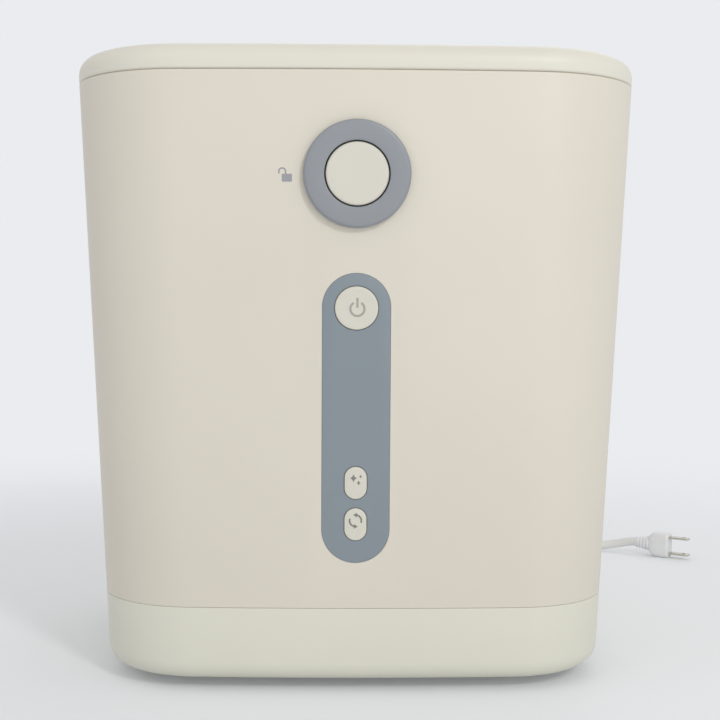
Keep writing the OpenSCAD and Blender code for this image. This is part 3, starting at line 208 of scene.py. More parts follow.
def finished(name, skin, shade, second, gloss, mask="Patch", bump=0.35, depth=0.03, own=(),
        **numbers):
    """A material that takes its colour, roughness and relief from a skin, and own values."""
    finish = bpy.data.materials.new(name)
    finish.use_nodes = True
    tree = finish.node_tree
    pattern = add(tree, "Group", ("Vector", add(tree, "TexCoord").outputs["Object"]),
        *[(label.capitalize(), value) for label, value in numbers.items()],
        node_tree=skin).outputs
    mix = add(tree, "Mix", ("Factor", pattern[mask]), ("A", tint(*shade)),
        ("B", tint(*second)), data_type="RGBA")
    relief = add(tree, "Bump", ("Height", pattern["Height"]), ("Strength", bump),
        ("Distance", depth*mm))
    join(tree.nodes["Principled BSDF"], ("Base Color", mix.outputs[2]),
        ("Roughness", spread(pattern["Height"], 0.3, 0.7, *gloss)),
        ("Normal", relief.outputs["Normal"]), *own)
    return finish


def moulded(name, *look, **numbers):
    """Moulded plastic or rubber: two near shades, a roughness range and the mould's grain."""
    return finished(name, mould_skin, *look, **numbers)


flex_pvc = moulded("flex_pvc", (226, 226, 224), (219, 219, 216), (0.42, 0.55), depth=0.02)
route.materials.append(flex_pvc)


# Plug -------------------------------------
# A white two-blade plug moulded onto the cord's end in PVC, with a ribbed boot. It lies on
# its narrow side, so that its blades stand one above the other.


def at(x, y, z=0):
    """A move to a place."""
    return Matrix.Translation((x, y, z))


def spun(angle, axis="Z"):
    """A turn by an angle in degrees."""
    return Matrix.Rotation(radians(angle), 4, axis)


def verts_of(geom):
    """The points in what an operator gives back."""
    return [g for g in geom if isinstance(g, bmesh.types.BMVert)]


def skinned(rings, capped=True):
    """A skin through rings of points, capped at both ends or joined up."""
    bm = bmesh.new()
    place = bm.verts.layers.int.new("place")
    ring = bmesh.ops.create_circle(bm, segments=len(rings[0]), radius=1)["verts"]
    for i, vert in enumerate(ring):
        vert[place] = i
    edges = first = list(bm.edges)
    for i, spots in enumerate(rings):
        if i:
            grown = bmesh.ops.extrude_edge_only(bm, edges=edges)["geom"]
            ring = verts_of(grown)
            fresh = set(ring)
            edges = [g for g in grown if isinstance(g, bmesh.types.BMEdge)
                and fresh.issuperset(g.verts)]
        for vert in ring:
            vert.co = spots[vert[place]]
    if capped:
        bmesh.ops.contextual_create(bm, geom=first)
        bmesh.ops.contextual_create(bm, geom=edges)
    else:
        bmesh.ops.bridge_loops(bm, edges=first + edges)
    bmesh.ops.recalc_face_normals(bm, faces=bm.faces)
    return bm


def oblong(half_x, half_y, z):
    """One ring: a soft-cornered oblong at height z."""
    spots = []
    points, square = 40, 5.0
    for i in range(points):
        c, s = cos(2*pi*i/points), sin(2*pi*i/points)
        grow = (abs(c)**square + abs(s)**square)**(-1/square)
        spots.append((half_x*c*grow, half_y*s*grow, z))
    return spots


def placed(bm, matrix):
    """The same shape, moved."""
    bmesh.ops.transform(bm, matrix=matrix, verts=bm.verts)
    return bm


def turned(profile, matrix=Matrix(), steps=96):
    """Spins an outline of (radius, height) points about Z and closes it."""
    bm = bmesh.new()
    verts = [bm.verts.new((r, 0, h)) for r, h in profile]
    edges = [bm.edges.new(pair) for pair in zip(verts, verts[1:])]
    bmesh.ops.spin(bm, geom=verts + edges, axis=(0, 0, 1), cent=(0, 0, 0), angle=2*pi,
        steps=steps, use_merge=True)
    bmesh.ops.remove_doubles(bm, verts=bm.verts, dist=1e-4)
    bmesh.ops.recalc_face_normals(bm, faces=bm.faces)
    return placed(bm, matrix)


def bend(x, y, radius, start, end, steps):
    """Points of an arc round (x, y), between two angles in degrees."""
    angles = [radians(start + (end - start)*i/steps) for i in range(steps + 1)]
    return [(x + radius*cos(a), y + radius*sin(a)) for a in angles]


def upright(r, x, y, low, high, segments=48):
    """A plain round bar or bore along Z."""
    bm = bmesh.new()
    bmesh.ops.create_cone(bm, cap_ends=True, segments=segments, radius1=r, radius2=r,
        depth=high - low, matrix=at(x, y, (low + high)/2))
    return bm


def block(size, low_corner):
    """A plain box from its lowest corner."""
    bm = bmesh.new()
    middle = [c + s/2 for c, s in zip(low_corner, size)]
    bmesh.ops.create_cube(bm, size=1, matrix=at(*middle) @ Matrix.Diagonal((*size, 1)))
    return bm


def gathered(parts):
    """Several closed shapes in one mesh."""
    whole = bmesh.new()
    for part in parts:
        spare = bpy.data.meshes.new("spare")
        part.to_mesh(spare)
        part.free()
        whole.from_mesh(spare)
        bpy.data.meshes.remove(spare)
    return whole


def softened(bm, radius, segments=3, angle=30, where=lambda edge: True):
    """Rounds the edges that turn by more than an angle."""
    rim = [e for e in bm.edges if len(e.link_faces) == 2
        and e.calc_face_angle(0) > radians(angle) and where(e)]
    bmesh.ops.bevel(bm, geom=rim, offset=radius, offset_type="OFFSET", affect="EDGES",
        segments=segments, profile=0.5, material=-1)
    return bm


def span(edge, axis):
    """How far an edge reaches along an axis."""
    start, end = edge.verts
    return abs(getattr(start.co, axis) - getattr(end.co, axis))


def as_piece(name, bm, finish, sharp=32):
    """Turns a mesh drawn in millimetres into an object in metres."""
    bmesh.ops.scale(bm, vec=(mm, mm, mm), verts=bm.verts)
    mesh = bpy.data.meshes.new(name)
    bm.to_mesh(mesh)
    bm.free()
    mesh.materials.append(finish)
    mesh.shade_smooth()
    mesh.set_sharp_from_angle(angle=radians(sharp))
    return put(name, mesh)


def bored(piece, cutters, sharp=32):
    """Cuts each cutter, drawn in millimetres, out of a piece."""
    tools = [as_piece("cutter", bm, None) for bm in cutters]
    for tool in tools:
        step = piece.modifiers.new("cut", "BOOLEAN")
        step.operation, step.solver, step.object = "DIFFERENCE", "EXACT", tool
    bpy.context.view_layer.update()
    cut = bpy.data.meshes.new_from_object(
        piece.evaluated_get(bpy.context.evaluated_depsgraph_get()))
    piece.modifiers.clear()
    cut.materials.clear()
    cut.materials.append(piece.data.materials[0])
    cut.set_sharp_from_angle(angle=radians(sharp))
    old, piece.data = piece.data, cut
    bpy.data.meshes.remove(old)
    cut.name = piece.name
    for shape in [tool.data for tool in tools]:
        bpy.data.meshes.remove(shape)
    return piece


def fitted(name, bm, finish, slot, *replaced, body="housing", cuts=(), sharp=32):
    """Makes a piece, with any cuts, hides the CAD nodes it replaces and puts it on its body. The
    slot is not used.
    """
    piece = as_piece(name, bm, finish, sharp)
    if cuts:
        bored(piece, cuts, sharp)
    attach(piece, body)
    if replaced:
        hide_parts(*replaced)
    return piece


plug_white = moulded("plug_white", (232, 233, 234), (224, 225, 227), (0.25, 0.4), depth=0.02)
on_plug = at(246, 243.2, 10) @ spun(-35)
plug_levels = [(-0.4, 4.7, 5.6), (0, 5, 6.4), (0.6, 5.3, 7.4), (1.6, 5.55, 8.6),
    (3, 5.8, 9.5), (5, 6, 9.95), (7, 6, 10), (13.6, 6, 10), (14.8, 5.9, 9.85),
    (15.5, 5.6, 9.5), (15.9, 5.1, 9), (16, 4.4, 8.3)]
grip = placed(skinned([oblong(t, h, x) for x, t, h in plug_levels]),
    on_plug @ spun(90, "Y") @ spun(90))
boot_ribs = []
for i in range(4):
    rib_r, rib_h = 5.4 - 0.4*i, 1.1 + 2.8*i
    boot_ribs += bend(rib_r, rib_h, 0.5, -90, 0, 3) + bend(rib_r, rib_h + 0.5, 0.5, 0, 90, 3)
    boot_ribs.append((rib_r - 0.6, rib_h + 1.2))
boot = turned([(0, 0), (4.8, 0)] + boot_ribs + [(4.4, 11.7), (4.1, 12), (0, 12)],
    on_plug @ spun(-90, "Y"), 48)
plug = fitted("plug_body", gathered([grip, boot]), plug_white, "white_plug", "mains_plug")


def far_off(way):
    """How far a place is from the middle."""
    return add(way.id_data, "VectorMath", (0, way), operation="LENGTH").outputs["Value"]


# Lathe rings round the machine's axis, as on spun or turned metal, with faint blotches
lathe_skin, way, rings, patches = new_skin("lathe_skin", rings=900, patches=22)
apart = add(lathe_skin, "SeparateXYZ", ("Vector", way)).outputs
flat = add(lathe_skin, "CombineXYZ", ("X", apart["X"]), ("Y", apart["Y"])).outputs["Vector"]
section = add(lathe_skin, "CombineXYZ", ("X", far_off(flat)), ("Y", apart["Z"]))
put_out(lathe_skin, cloud(section.outputs["Vector"], rings, 4, 0.7),
    spread(cloud(way, patches, 4, 0.55), 0.32, 0.68), spread(cloud(way, 1800, 2), 0.62, 0.7))

# Fine straight lines along X, as drawn wire, rolled sheet and ground faces show
drawn_skin, way, lines, patches = new_skin("drawn_skin", lines=1600, patches=30)
along = add(drawn_skin, "Mapping", ("Vector", way), ("Scale", (0.03, 1, 1)))
put_out(drawn_skin, cloud(along.outputs["Vector"], lines, 3, 0.65),
    spread(cloud(way, patches, 4, 0.6), 0.3, 0.7),
    spread(cells(way, 500)["Distance"], 0.05, 0.12, 1, 0))


def metal(name, skin, *look, **numbers):
    """Bare metal, which is set on the shader's own socket."""
    return finished(name, skin, *look, own=[("Metallic", 1)], **numbers)


nickel_brass = metal("nickel_brass", drawn_skin, (206, 202, 192), (196, 190, 176),
    (0.18, 0.32), depth=0.01)
blades = []
for side in (-1, 1):
    blade = softened(block((17, 6.4, 1.5), (15, -3.2, side*6.35 - 0.75)), 1.4, 4,
        where=lambda e: all(v.co.x > 31 for v in e.verts) and span(e, "z") > 1)
    blades.append(softened(blade, 0.2, 2))
plug_blades = fitted("plug_blades", placed(gathered(blades), on_plug), nickel_brass,
    "plated_steel", cuts=[placed(upright(1.6, 27.5, 0, -20, 20, 32), on_plug)])


# Gland and tie ----------------------------
# A ribbed PVC sleeve, moulded on the cord and locked in the base's back wall, and a black
# hook-and-loop strap round the coil.


def dress(finish, *names):
    """Gives the material slots of CAD nodes that stay as they are a finish."""
    for name in names:
        for holder in node[name].material_slots:
            holder.material = finish


dress(flex_pvc, "cord_gland")
strap_black = moulded("strap_black", (38, 38, 40), (50, 50, 53), (0.85, 0.98), grain=2600,
    depth=0.12)
coil_in, coil_out = 24.5, 49
strap_half, strap_high, strap_w, strap_t, strap_edge = 13.0, 7.6, 10, 0.8, 0.2
on_strap = (at(*coil_at) @ spun(-60) @ at((coil_in + coil_out)/2, strap_w/2, strap_high)
    @ spun(90, "X"))
strap = skinned([oblong(strap_half - inset, strap_high - inset, z) for inset, z in (
    (0, 0.3), (0, strap_w - 0.3), (strap_edge, strap_w), (strap_t, strap_w), (strap_t, 0),
    (strap_edge, 0))], capped=False)
strap_tab = softened(block((9, 0.8, strap_w - 1), (-4, strap_high - 0.1, 0.5)), 0.3, 2)
tie = fitted("cord_strap", placed(gathered([strap, strap_tab]), on_strap), strap_black,
    "black_rubber", "cord_tie")
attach(cord, "housing")
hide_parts("cord_tube", "cord_coil")


# Base pan ---------------------------------
# One cream ABS moulding: a shallow tray with a rounded lower edge, whose inner lip stands up
# inside the casing. Four screws from below pull it against the casing's corner posts.

base_seam, lid_seam = 45, 318
mid_y, wall = -4.587, 2.8
lean = radians(2.7263)
half_w, half_d, corner_r = 138.5, 133, 54
flare, corner_flare = 13, 8
bow, bow_r = 2.2, 1758
side_n, corner_n = 12, 20


def halves(z):
    """Half width, half depth and corner radius of the housing's plan at height z."""
    t = (z - base_seam)/(lid_seam - base_seam)
    return half_w + flare*t, half_d + flare*t, corner_r + corner_flare*t


def outline(z, inset=0.0):
    """The housing's plan at height z: four shallow arcs, tangent to four corner arcs."""
    a, b, r = (length - inset for length in halves(z))
    cx, cy = a - bow - r, b - bow - r
    rx = (cy*cy + bow*bow + 2*bow*r)/(2*bow)
    ry = (cx*cx + bow*bow + 2*bow*r)/(2*bow)
    tx, ty = asin(cy/(rx - r)), asin(cx/(ry - r))
    spots = []
    for s, turn in ((1, 0), (-1, pi)):
        for x, y, radius, start, end, n in (
                (a - rx, 0, rx, -tx, tx, side_n), (cx, cy, r, tx, pi/2 - ty, corner_n),
                (0, b - ry, ry, pi/2 - ty, pi/2 + ty, side_n),
                (-cx, cy, r, pi/2 + ty, pi - tx, corner_n)):
            for i in range(n):
                angle = turn + start + (end - start)*i/n
                spots.append((s*x + radius*cos(angle), mid_y + s*y + radius*sin(angle), z))
    return spots


def rounded(z, inset, radius, start, end, steps):
    """Levels (height, inset) round an edge whose arc has its centre at (z, inset)."""
    return [(h, -x) for x, h in bend(-inset, z, radius, start, end, steps)]


def walled(levels, capped=True):
    """A skin through the housing's outline at each (height, inset)."""
    return skinned([outline(z, inset) for z, inset in levels], capped)


def corners(along, z=base_seam):
    """Four places on the diagonals of the plan's corners."""
    a, b, r = halves(z)
    off = along*cos(pi/4) - bow - r
    return [(sx*(a + off), mid_y + sy*(b + off)) for sx in (-1, 1) for sy in (-1, 1)]


def flat_shape(points, z=0):
    """A filled flat outline."""
    bm = bmesh.new()
    bmesh.ops.contextual_create(bm, geom=[bm.verts.new((x, y, z)) for x, y in points])
    return bm


def raised(bm, rise):
    """A flat shape given its thickness along Z."""
    lift = bmesh.ops.extrude_face_region(bm, geom=bm.faces[:])["geom"]
    bmesh.ops.translate(bm, vec=(0, 0, rise), verts=verts_of(lift))
    bmesh.ops.recalc_face_normals(bm, faces=bm.faces)
    return bm


def slot_shape(w, h, low, high, matrix=Matrix(), segments=64, soften=0.0):
    """A flat-sided slot with round ends, h along Y, between two heights."""
    bm = bmesh.new()
    bmesh.ops.create_circle(bm, cap_ends=True, segments=segments, radius=w/2)
    for vert in bm.verts:
        vert.co.y += (h - w)/2 if vert.co.y > 1e-4 else -(h - w)/2
        vert.co.z = low
    raised(bm, high - low)
    if soften:
        softened(bm, soften, 4, 60, lambda e: all(abs(v.co.z - high) < 1e-6 for v in e.verts))
    return placed(bm, matrix)


leant = Matrix.Rotation(pi/2 + lean, 4, "X")


def front_frame(z):
    """X along the front wall, Y up it and Z outwards, from the wall's middle at height z."""
    return at(0, mid_y - halves(z)[1], z) @ leant


def rear_frame(z):
    """The same on the back wall, with X running to the machine's left."""
    return at(0, mid_y + halves(z)[1], z) @ spun(180) @ leant


def wall_drop(x):
    """How far a bowed wall has fallen back at a distance x from its middle."""
    return x*x/(2*bow_r)


def turned_at(places, profile, steps=32):
    """The same turned shape at several places."""
    return [turned(profile, at(x, y), steps) for x, y in places]


def bores(places, r, low, high):
    """The same upright bore at several places."""
    return gathered(upright(r, x, y, low, high) for x, y in places)


cream_base = moulded("cream_base", (216, 215, 202), (213, 212, 199), (0.38, 0.5))
foot_h, foot_r, floor_z, base_rim, edge_r = 6, 9, 9, 44.96, 0.4
gland_x, gland_z, gland_r = -45, 22, 6.6
lip_out, lip_in, lip_top = 2.95, 4.75, 50.05
case_spots, foot_spots = corners(30), corners(6)
pillar_spots = [(x, y) for x in (30, 104) for y in (-66, -12)]
base_levels = [(floor_z, wall + 5), (floor_z + 6, wall), (base_rim - 5, wall),
    (base_rim - 2, lip_in), (lip_top, lip_in), (lip_top, lip_out), (base_rim, lip_out)]
base_levels += rounded(base_rim - edge_r, edge_r, edge_r, 90, 0, 3)
base_levels += rounded(foot_h + 10, 10, 10, 0, -90, 12)
base_cuts = [slot_shape(3, 44, 2, floor_z + 1, at(8*i, mid_y - 60), 24) for i in range(-3, 4)]
base_cuts += [placed(upright(gland_r, 0, 0, -12, 5), at(gland_x, 0) @ rear_frame(gland_z)),
    bores(case_spots, 4.2, 0, floor_z + 1), bores(foot_spots, foot_r + 0.15, 0, foot_h + 1)]
fitted("base_pan_skin", walled(base_levels), cream_base, "cream_base", "base_pan",
    cuts=base_cuts)
base_posts = turned_at(case_spots, [(4.2, floor_z), (5, floor_z), (5, 52), (4.6, 52.45),
    (2.1, 52.45), (2.1, floor_z + 2), (4.2, floor_z + 2), (4.2, floor_z)])
base_posts += turned_at(pillar_spots, [(1.2, floor_z), (3, floor_z), (3, 16.95), (1.2, 16.95),
    (1.2, floor_z)])
fitted("base_posts", gathered(base_posts), cream_base, "cream_base", "base_pan")


# Feet -------------------------------------
# Four soft rubber discs, pressed into round recesses under the base pan's corners. They are
# moulded with a rounded rim and a shallow hollow underneath.

foot_rubber = moulded("foot_rubber", (46, 46, 48), (56, 56, 58), (0.7, 0.85), grain=900,
    depth=0.06)
feet = turned_at(foot_spots, [(0, 0.5), (5.2, 0.5), (5.6, 0)] + bend(8, 1, 1, -90, 0, 5)
    + [(9, 6.6), (8.6, 7), (0, 7)], 48)
fitted("rubber_feet", gathered(feet), foot_rubber, "grey_rubber", "feet")


# Casing -----------------------------------
# The tall cream ABS wall that leans out towards the lid, with slightly bowed sides. It has
# holes for the release, the control strip and the filter cassette.

cream_casing = moulded("cream_casing", (218, 212, 199), (215, 209, 196), (0.4, 0.52))
casing_low, casing_top = 45.04, 317.9
ring_z, strip_z, bay_z = 266.5, 143, 203
ring_hole_r, bay_w, bay_h = 19.65, 116.3, 90.3
strip_w, strip_l, strip_gap = 34.8, 148.3, 0.08
bay_cut = placed(block((bay_w, bay_h, 20), (-bay_w/2, -bay_h/2, -10)), rear_frame(bay_z))
fitted("casing_skin", walled([(casing_low, wall)]
    + rounded(casing_low + edge_r, edge_r, edge_r, -90, 0, 3)
    + rounded(casing_top - edge_r, edge_r, edge_r, 0, 90, 3) + [(casing_top, wall)], False),
    cream_casing, "cream_casing", "outer_casing",
    cuts=[placed(upright(ring_hole_r, 0, 0, -20, 10), front_frame(ring_z)), bay_cut,
    slot_shape(strip_w + 2*strip_gap, strip_l + 2*strip_gap, -20, 10, front_frame(strip_z), 96)])
deck_spots = corners(54.5, 309.55)
posts = turned_at(case_spots,
    [(1.5, 52.5), (5, 52.5), (5, 79.6), (4.6, 80), (1.5, 80), (1.5, 52.5)])
posts += [placed(block((23.2, 2.4, 24), (0, -1.2, 52.5)), at(x, y) @ spun(turn))
    for (x, y), turn in zip(case_spots, (225, 135, 315, 45))]
posts += turned_at(deck_spots,
    [(1.5, 280), (4.6, 280), (5, 280.4), (5, 309.4), (1.5, 309.4), (1.5, 280)])
fitted("casing_posts", gathered(posts), cream_casing, "cream_casing", "outer_casing")


# Hinge ------------------------------------
# Two knuckles moulded on the casing's back wall, outside the lid's two arms. A steel pin runs
# through all four, with a torsion spring between the arms.


def prism(points, low, high, matrix=Matrix()):
    """A flat outline given its thickness along Z."""
    return placed(raised(flat_shape(points, low), high - low), matrix)


side_on = Matrix(((0, 0, 1, 0), (1, 0, 0, 0), (0, 1, 0, 0), (0, 0, 0, 1)))


def arms(points, wide, *starts):
    """Arms of one outline, seen from the side, from each start along the hinge."""
    return gathered(softened(prism(points, low, low + wide, side_on), 0.6, 3, 50,
        lambda e: span(e, "x") < 0.01) for low in starts)


rear_y = mid_y + halves(lid_seam)[1]
hinge_y, hinge_z, knuckle_r, pin_r = rear_y + 7, 318.1, 5.5, 2
on_pin = at(0, hinge_y, hinge_z) @ spun(90, "Y")
knuckles = arms([(rear_y - 1.5, hinge_z - 21), (rear_y + 0.5, hinge_z - 17),
    (hinge_y - 1.6, hinge_z - 6.4)] + bend(hinge_y, hinge_z, knuckle_r, -95, 158, 28)
    + [(rear_y - 1.5, hinge_z - 2)], 25, -50, 25)
fitted("casing_knuckles", knuckles, cream_casing, "cream_casing", "outer_casing",
    cuts=[placed(upright(pin_r + 0.02, 0, 0, -52, 52, 32), on_pin)])
dress(metal("pin_steel", drawn_skin, (196, 197, 199), (182, 183, 186), (0.2, 0.34),
    depth=0.008), "hinge_pin", "idler_axles", "latch_pin")
spring_steel = metal("spring_steel", drawn_skin, (150, 152, 156), (134, 136, 141),
    (0.28, 0.42), lines=2400, depth=0.008)


def coil_wire(turns, coil_r, wire_r, height, matrix):
    """A wound spring along Z whose ends lie flat for a part of a turn."""
    rings = []
    per_turn, sides, dead = 28, 10, 0.4
    for i in range(turns*per_turn + 1):
        turn = i/per_turn
        z = height*held((turn - dead)/(turns - 2*dead))
        way = Vector((cos(2*pi*turn), sin(2*pi*turn), 0))
        rings.append([way*(coil_r + r) + Vector((0, 0, z + rise))
            for r, rise in bend(0, 0, wire_r, 0, 360, sides)[:-1]])
    return placed(skinned(rings), matrix)


fitted("lid_coil", coil_wire(8, 3.2, 0.6, 13, on_pin @ at(0, 0, -6.5)), spring_steel,
    "steel", "lid_spring", sharp=60)


# Lid --------------------------------------
# A cream ABS lid with a rounded top edge and a barely crowned top. Two arms at the back
# carry it on the hinge pin.

# The lid's cream is a shade lighter than the casing's as painted light: it stands for the extra
# light the lid's curved top edge catches.
cream_lid = moulded("cream_lid", (222, 218, 206), (219, 215, 203), (0.38, 0.5))
lid_low, lid_edge_r, top_z = 318.12, 1.5, 332
fitted("lid_skin", walled([(top_z - 2.8, wall + 9), (top_z - 5.8, wall + 3),
    (lid_low + 2, wall), (lid_low, wall)]
    + rounded(lid_low + lid_edge_r, lid_edge_r, lid_edge_r, -90, 0, 6)
    + rounded(top_z - 10, 10, 10, 0, 90, 12)
    + [(top_z + 0.25, 16), (top_z + 0.6, 28), (top_z + 0.8, 39), (top_z + 0.9, 50)]),
    cream_lid, "cream_lid", "lid_shell", body="lid")
lid_arms = arms([(rear_y - 1.5, hinge_z + 1)] + bend(hinge_y, hinge_z, knuckle_r, 169.5, 450, 32)
    + [(rear_y - 1.5, hinge_z + knuckle_r + 1.5)], 16.6, -24.6, 8)
fitted("lid_arms", lid_arms, cream_lid, "cream_lid", "lid_shell", body="lid",
    cuts=[placed(upright(pin_r + 0.06, 0, 0, -30, 30, 32), on_pin)])


# Lid's inside -----------------------------
# A grey polypropylene liner, clipped up into the lid, holds a soft silicone gasket in a round
# channel. A folded steel catch is screwed behind its front edge.

dress(moulded("liner_pp", (124, 127, 132), (117, 120, 125), (0.4, 0.55), depth=0.04),
    "lid_liner")
dress(moulded("gasket_silicone", (226, 226, 222), (214, 214, 210), (0.5, 0.68),
    grain=2200, depth=0.02, own=[("Subsurface Weight", 0.1)]), "lid_gasket")
dress(metal("folded_steel", drawn_skin, (176, 178, 181), (164, 166, 170), (0.26, 0.4),
    lines=1100, depth=0.012), "lid_catch", "latch_bracket")


# Release ring -----------------------------
# A grey ABS bezel with a rounded outer edge, pushed through the casing from the front. Its
# tubular spigot guides the disc.

grey_ring_abs = moulded("grey_ring_abs", (143, 147, 153), (139, 143, 149), (0.32, 0.44),
    depth=0.02)
on_ring = front_frame(ring_z)
fitted("release_bezel", turned([(4.5, -10), (19.5, -10), (19.5, 0.05), (27, 0.05)]
    + bend(25.2, 2.7, 1.8, 0, 90, 8) + [(17.2, 4.5)] + bend(17.2, 3.8, 0.7, 90, 180, 4)
    + [(16.5, -8), (4.5, -8), (4.5, -10)], on_ring), grey_ring_abs, "grey_ring", "release_ring")


# Release disc -----------------------------
# A cream push disc with a shallow dish. It slides 3 mm into the ring against a wound steel
# spring, and its stem tips the latch behind it.

cream_button = moulded("cream_button", (213, 210, 198), (210, 207, 195), (0.34, 0.46),
    depth=0.02)
fitted("release_push", turned([(0, -18.8), (1.5, -18.8), (4, -16.3), (4, -12.35),
    (5.6, -11.75), (5.6, -10.15), (4, -10.15), (4, 1.5), (13.85, 1.5), (13.85, -3),
    (15.85, -3)] + bend(14.85, 2.9, 1, 0, 90, 6) + [(12.5, 3.83), (10, 3.74), (7, 3.64),
    (3.5, 3.57), (0, 3.55)], on_ring), cream_button, "cream_button", "release_disc",
    body="release_button")
seat, squeezed = -7.9, 0.68
push_coil = fitted("release_coil", coil_wire(5, 7, 0.5, 8.3, on_ring @ at(0, 0, seat + 0.5)),
    spring_steel, "steel", "release_spring", sharp=60)
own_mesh(push_coil)


# Padlock mark -----------------------------
# A small open padlock, left of the ring. It is pad-printed on the casing in grey ink, in a
# thin film that follows the wall.


def flat_arc(x, y, radius, stroke, start, end, steps=24):
    """A flat stroke of ink along an arc, between two angles in degrees."""
    bm = bmesh.new()
    ends = [bm.verts.new((radius + side*stroke/2, 0, 0)) for side in (-1, 1)]
    edge = bm.edges.new(ends)
    bmesh.ops.rotate(bm, cent=(0, 0, 0), matrix=spun(start), verts=ends)
    bmesh.ops.spin(bm, geom=ends + [edge], cent=(0, 0, 0), axis=(0, 0, 1),
        angle=radians(end - start), steps=steps)
    return placed(bm, at(x, y))


def flat_bar(x, y, w, h):
    """A flat upright bar of ink round (x, y), in short lengths that can follow a curve."""
    bm = bmesh.new()
    bmesh.ops.create_grid(bm, x_segments=3, y_segments=4, size=0.5,
        matrix=at(x, y) @ Matrix.Diagonal((w, h, 1, 1)))
    return bm


def printed(flats, matrix, height):
    """Ink shapes as one thin plate that follows a surface: height gives its rise at (x, y)."""
    sunk, film = 0.1, 0.045
    plate = raised(gathered(flats), sunk + film)
    for vert in plate.verts:
        vert.co.z += height(vert.co.x, vert.co.y) - sunk
    return placed(plate, matrix)


def ink(name, shade, second):
    """A thin matt printing ink."""
    return moulded(name, shade, second, (0.45, 0.6), depth=0.01)


lilac_ink = ink("lilac_ink", (150, 149, 156), (156, 155, 161))
lock_x, lock_y, lock_w, lock_h, lock_r = -35.2, -2.15, 5.1, 3.9, 0.4
lock_body = [p for sx, sy, first in ((1, 1, 0), (-1, 1, 90), (-1, -1, 180), (1, -1, 270))
    for p in bend(lock_x + sx*(lock_w/2 - lock_r), lock_y + sy*(lock_h/2 - lock_r), lock_r,
        first, first + 90, 3)]
shackle_r, shackle_x, shackle_t, shackle_h = 1.7, lock_x - 2.35, 0.75, 1.15
padlock = [flat_shape(lock_body),
    flat_arc(shackle_x, lock_y + 3.1, shackle_r, shackle_t, 0, 215),
    flat_bar(shackle_x + shackle_r, lock_y + (lock_h + shackle_h)/2, shackle_t, shackle_h)]
fitted("padlock_mark", printed(padlock, on_ring, lambda x, y: -wall_drop(x)), lilac_ink,
    "grey_plastic")


# Control strip ----------------------------
# A grey ABS plate with round ends, flush with the casing, clipped in from behind against its
# flange. The three buttons stand through it.

power_z, clean_z, speed_z = 199.486, 110.411, 89.011
power_r, key_w, key_l, key_gap = 11, 11.4, 16.7, 0.3
grey_strip_abs = moulded("grey_strip_abs", (133, 143, 151), (129, 139, 147), (0.3, 0.42),
    depth=0.02)
on_strip = front_frame(strip_z)


def up_strip(z):
    """The strip's frame, moved up it to height z."""
    return on_strip @ at(0, (z - strip_z)/cos(lean))


for name, rim, low, high, soften in (("strip_plate", 0, -4.6, 0, 0.3),
        ("strip_flange", 6, -4.5, -3.3, 0)):
    holes = [placed(upright(power_r + key_gap, 0, 0, -6, 3, 96), up_strip(power_z))]
    holes += [slot_shape(key_w + 2*key_gap, key_l + 2*key_gap, -6, 3, up_strip(z))
        for z in (clean_z, speed_z)]
    fitted(name, slot_shape(strip_w + rim, strip_l + rim, low, high, on_strip, 96, soften),
        grey_strip_abs, "grey_strip", "control_strip", cuts=holes)


# Power button -----------------------------
# A round cream ABS button with a shallow dish and a printed grey standby mark. A flange behind
# the strip keeps it in.

dish = [(0, 0.6), (2, 0.61), (4, 0.65), (6.5, 0.74), (8.5, 0.83), (10.3, 0.9)]


def dish_height(x, y):
    """The power button's surface at a place on it."""
    r = sqrt(x*x + y*y)
    (r0, h0), (r1, h1) = next(pair for pair in zip(dish, dish[1:]) if pair[1][0] >= r)
    return h0 + (h1 - h0)*(r - r0)/(r1 - r0)


fitted("power_cap", turned([(0, -6.4), (12.4, -6.4), (12.4, -4.9), (power_r, -4.9)]
    + bend(power_r - 0.7, 0.2, 0.7, 0, 90, 5) + dish[-2::-1], up_strip(power_z)), cream_button,
    "cream_button", "power_button", body="power_key")
power_ink = ink("power_ink", (160, 157, 149), (165, 162, 154))
standby = [flat_arc(0.4, -0.4, 3.55, 1.15, 122, 418, 48), flat_bar(0.4, 2.7, 1.15, 5)]
fitted("power_mark", printed(standby, up_strip(power_z), dish_height), power_ink,
    "grey_plastic", body="power_key")


# Small buttons ----------------------------
# Two cream keys with round ends, one above the other, each with a printed grey sign: a
# cleaning sparkle on the upper one and a pair of turning arrows on the lower one.


def sparkle(x, y, half_w, half_h):
    """A four-pointed star with hollow sides."""
    angles = [2*pi*i/32 for i in range(32)]
    return flat_shape([(x + half_w*cos(a)*abs(cos(a))**2.1, y + half_h*sin(a)*abs(sin(a))**2.1)
        for a in angles])


def turning_arrow(start, end):
    """An arc of ink that ends in an arrow's head."""
    mid, r = Vector((0, 2)), 3
    way = Matrix.Rotation(radians(end + 100), 2)
    tip = mid + r*Vector((cos(radians(end)), sin(radians(end))))
    head = [tip + way @ Vector(spot) for spot in ((0, -1.25), (2, 0), (0, 1.25))]
    return [flat_arc(*mid, r, 0.9, start, end), flat_shape(head)]


key_ink = ink("key_ink", (124, 123, 115), (130, 129, 121))
sparkles = [sparkle(-1.1, 2.55, 1.9, 2.25), sparkle(2.5, 3.4, 0.9, 1.1),
    sparkle(1.5, 0.15, 1.1, 1.5)]
for key, key_z, sign in (("clean", clean_z, sparkles),
        ("speed", speed_z, turning_arrow(-20, 75) + turning_arrow(160, 255))):
    on_key = up_strip(key_z)
    cap = gathered([slot_shape(key_w, key_l, -4.6, 0.9, on_key, soften=0.55),
        slot_shape(key_w - 1, key_l - 1, -5, -4.5, on_key),
        slot_shape(key_w + 2.4, key_l + 2, -6.4, -4.9, on_key)])
    fitted(key + "_cap", cap, cream_button, "cream_button", key + "_button", body=key + "_key")
    fitted(key + "_mark", printed(sign, on_key, lambda x, y: 0.9), key_ink, "grey_plastic",
        body=key + "_key")


